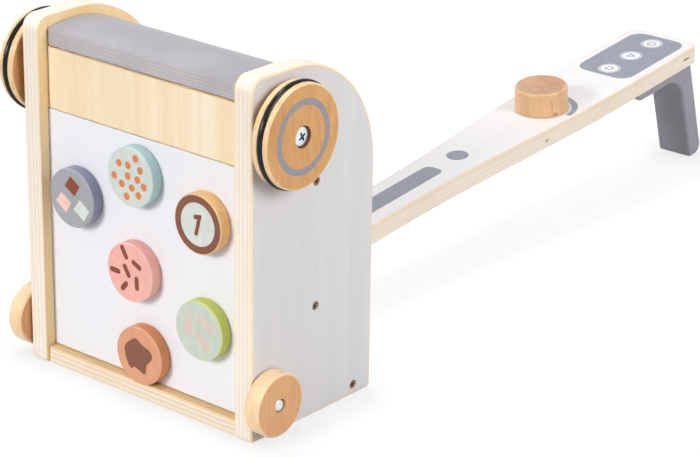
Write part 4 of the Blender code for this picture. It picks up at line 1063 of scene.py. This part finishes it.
# Stage
WORLD_LIGHT = 0.40
FLOOR_LIT, FLOOR_SHOWN, FLOOR_GLOW = 0.5, 0.20, 0.83
FLOOR_SIZE, FLOOR_DROP, FLOOR_NEAR, FLOOR_FAR = 12.0, 0.2 * MM, 0.6, 1.6
CONTACT_REACH, CONTACT_SHADE, CONTACT_FULL = 40.0 * MM, 0.87, 0.4
CAMERA_PLACE, CAMERA_LENS, CAMERA_SENSOR = (1.1177, -1.1825, 0.7579), 132.53, 36.0
CAMERA_AZIMUTH, CAMERA_ELEVATION, CAMERA_ROLL = (radians(a) for a in (39.758, 21.804, 0.925))
# Each lamp: its place, its aim, its size in metres, its spread in degrees and its power in watts
LAMPS = {
    "key": ((-0.24, -1.40, 0.68), (0.0, -0.10, 0.12), 0.9, 28.0, 1.27),
    "fill": ((1.8, 0.2, 1.0), (0.0, 0.15, 0.1), 1.2, 180.0, 23.0),
    "overhead": ((-0.25, 0.1, 1.8), (0.0, 0.2, 0.0), 0.5, 180.0, 10.2),
    "far_fill": ((-1.8, 0.3, 0.9), (0.0, 0.15, 0.1), 1.2, 180.0, 7.0),
}


def shown_white(nodes, lit, shown):
    """Mixes two shaders: one for light on the object, one for what the camera and mirrors see."""
    rays = nodes.add("LightPath").outputs
    seen = rays["Is Camera Ray"]
    for name in ("Is Glossy Ray", "Is Transmission Ray"):
        seen = nodes.add("Math", {0: seen, 1: rays[name]}, operation="ADD", use_clamp=True).outputs[0]
    return nodes.add("MixShader", {0: seen, 1: lit, 2: shown}).outputs[0]


def add_floor():
    """Pale floor that keeps the object's shadow near it and turns plain white further off."""
    mesh = bpy.data.meshes.new("floor")
    corners = [(u * FLOOR_SIZE, v * FLOOR_SIZE, 0) for u, v in ((-1, -1), (1, -1), (1, 1), (-1, 1))]
    mesh.from_pydata(corners, [], [(0, 1, 2, 3)])
    floor = linked("floor", mesh)
    floor.location.z = -FLOOR_DROP
    material = bpy.data.materials.new("floor")
    nodes = Nodes(material)
    nodes.tree.nodes.clear()
    greys = [(c, c, c, 1.0) for c in (FLOOR_LIT, FLOOR_SHOWN)]
    lit, shade = (nodes.add("BsdfDiffuse", {"Color": grey}).outputs[0] for grey in greys)
    place = nodes.add("TexCoord").outputs["Object"]
    away = nodes.add("VectorMath", {0: place}, operation="LENGTH").outputs["Value"]
    nearby = nodes.add("AmbientOcclusion", {"Distance": CONTACT_REACH}, samples=12).outputs["AO"]
    strength = nodes.maths("MULTIPLY", nodes.between(away, FLOOR_NEAR, FLOOR_FAR, FLOOR_GLOW),
                           nodes.between(nearby, CONTACT_FULL, 1.0, CONTACT_SHADE))
    glow = nodes.add("Emission", {"Strength": strength})
    both = nodes.add("AddShader", {0: shade, 1: glow.outputs[0]}).outputs[0]
    nodes.add("OutputMaterial", {"Surface": shown_white(nodes, lit, both)})
    mesh.materials.append(material)


def add_light():
    """World light that shows plain white, and the lamps."""
    world = bpy.data.worlds.new("studio")
    bpy.context.scene.world = world
    nodes = Nodes(world)
    nodes.tree.nodes.clear()
    lit, shown = (nodes.add("Background", {"Strength": s}).outputs[0] for s in (WORLD_LIGHT, 1.0))
    nodes.add("OutputWorld", {"Surface": shown_white(nodes, lit, shown)})
    for name, (where, aim, size, spread, power) in LAMPS.items():
        data = bpy.data.lights.new(name, "AREA")
        data.shape, data.size, data.energy, data.spread = "DISK", size, power, radians(spread)
        made = linked(name, data)
        made.location = where
        made.rotation_euler = (Vector(where) - Vector(aim)).to_track_quat("Z", "Y").to_euler()


def add_camera():
    level = cos(CAMERA_ELEVATION)
    back = Vector((sin(CAMERA_AZIMUTH) * level, -cos(CAMERA_AZIMUTH) * level, sin(CAMERA_ELEVATION)))
    data = bpy.data.cameras.new("camera")
    data.lens, data.sensor_width = CAMERA_LENS, CAMERA_SENSOR
    camera = linked("camera", data)
    turn = back.to_track_quat("Z", "Y").to_matrix().to_4x4() @ spun(CAMERA_ROLL)
    camera.matrix_world = at(*CAMERA_PLACE) @ turn
    bpy.context.scene.camera = camera


add_floor()
add_light()
add_camera()
bpy.context.scene.view_settings.view_transform = "Standard"

bpy.context.view_layer.update()
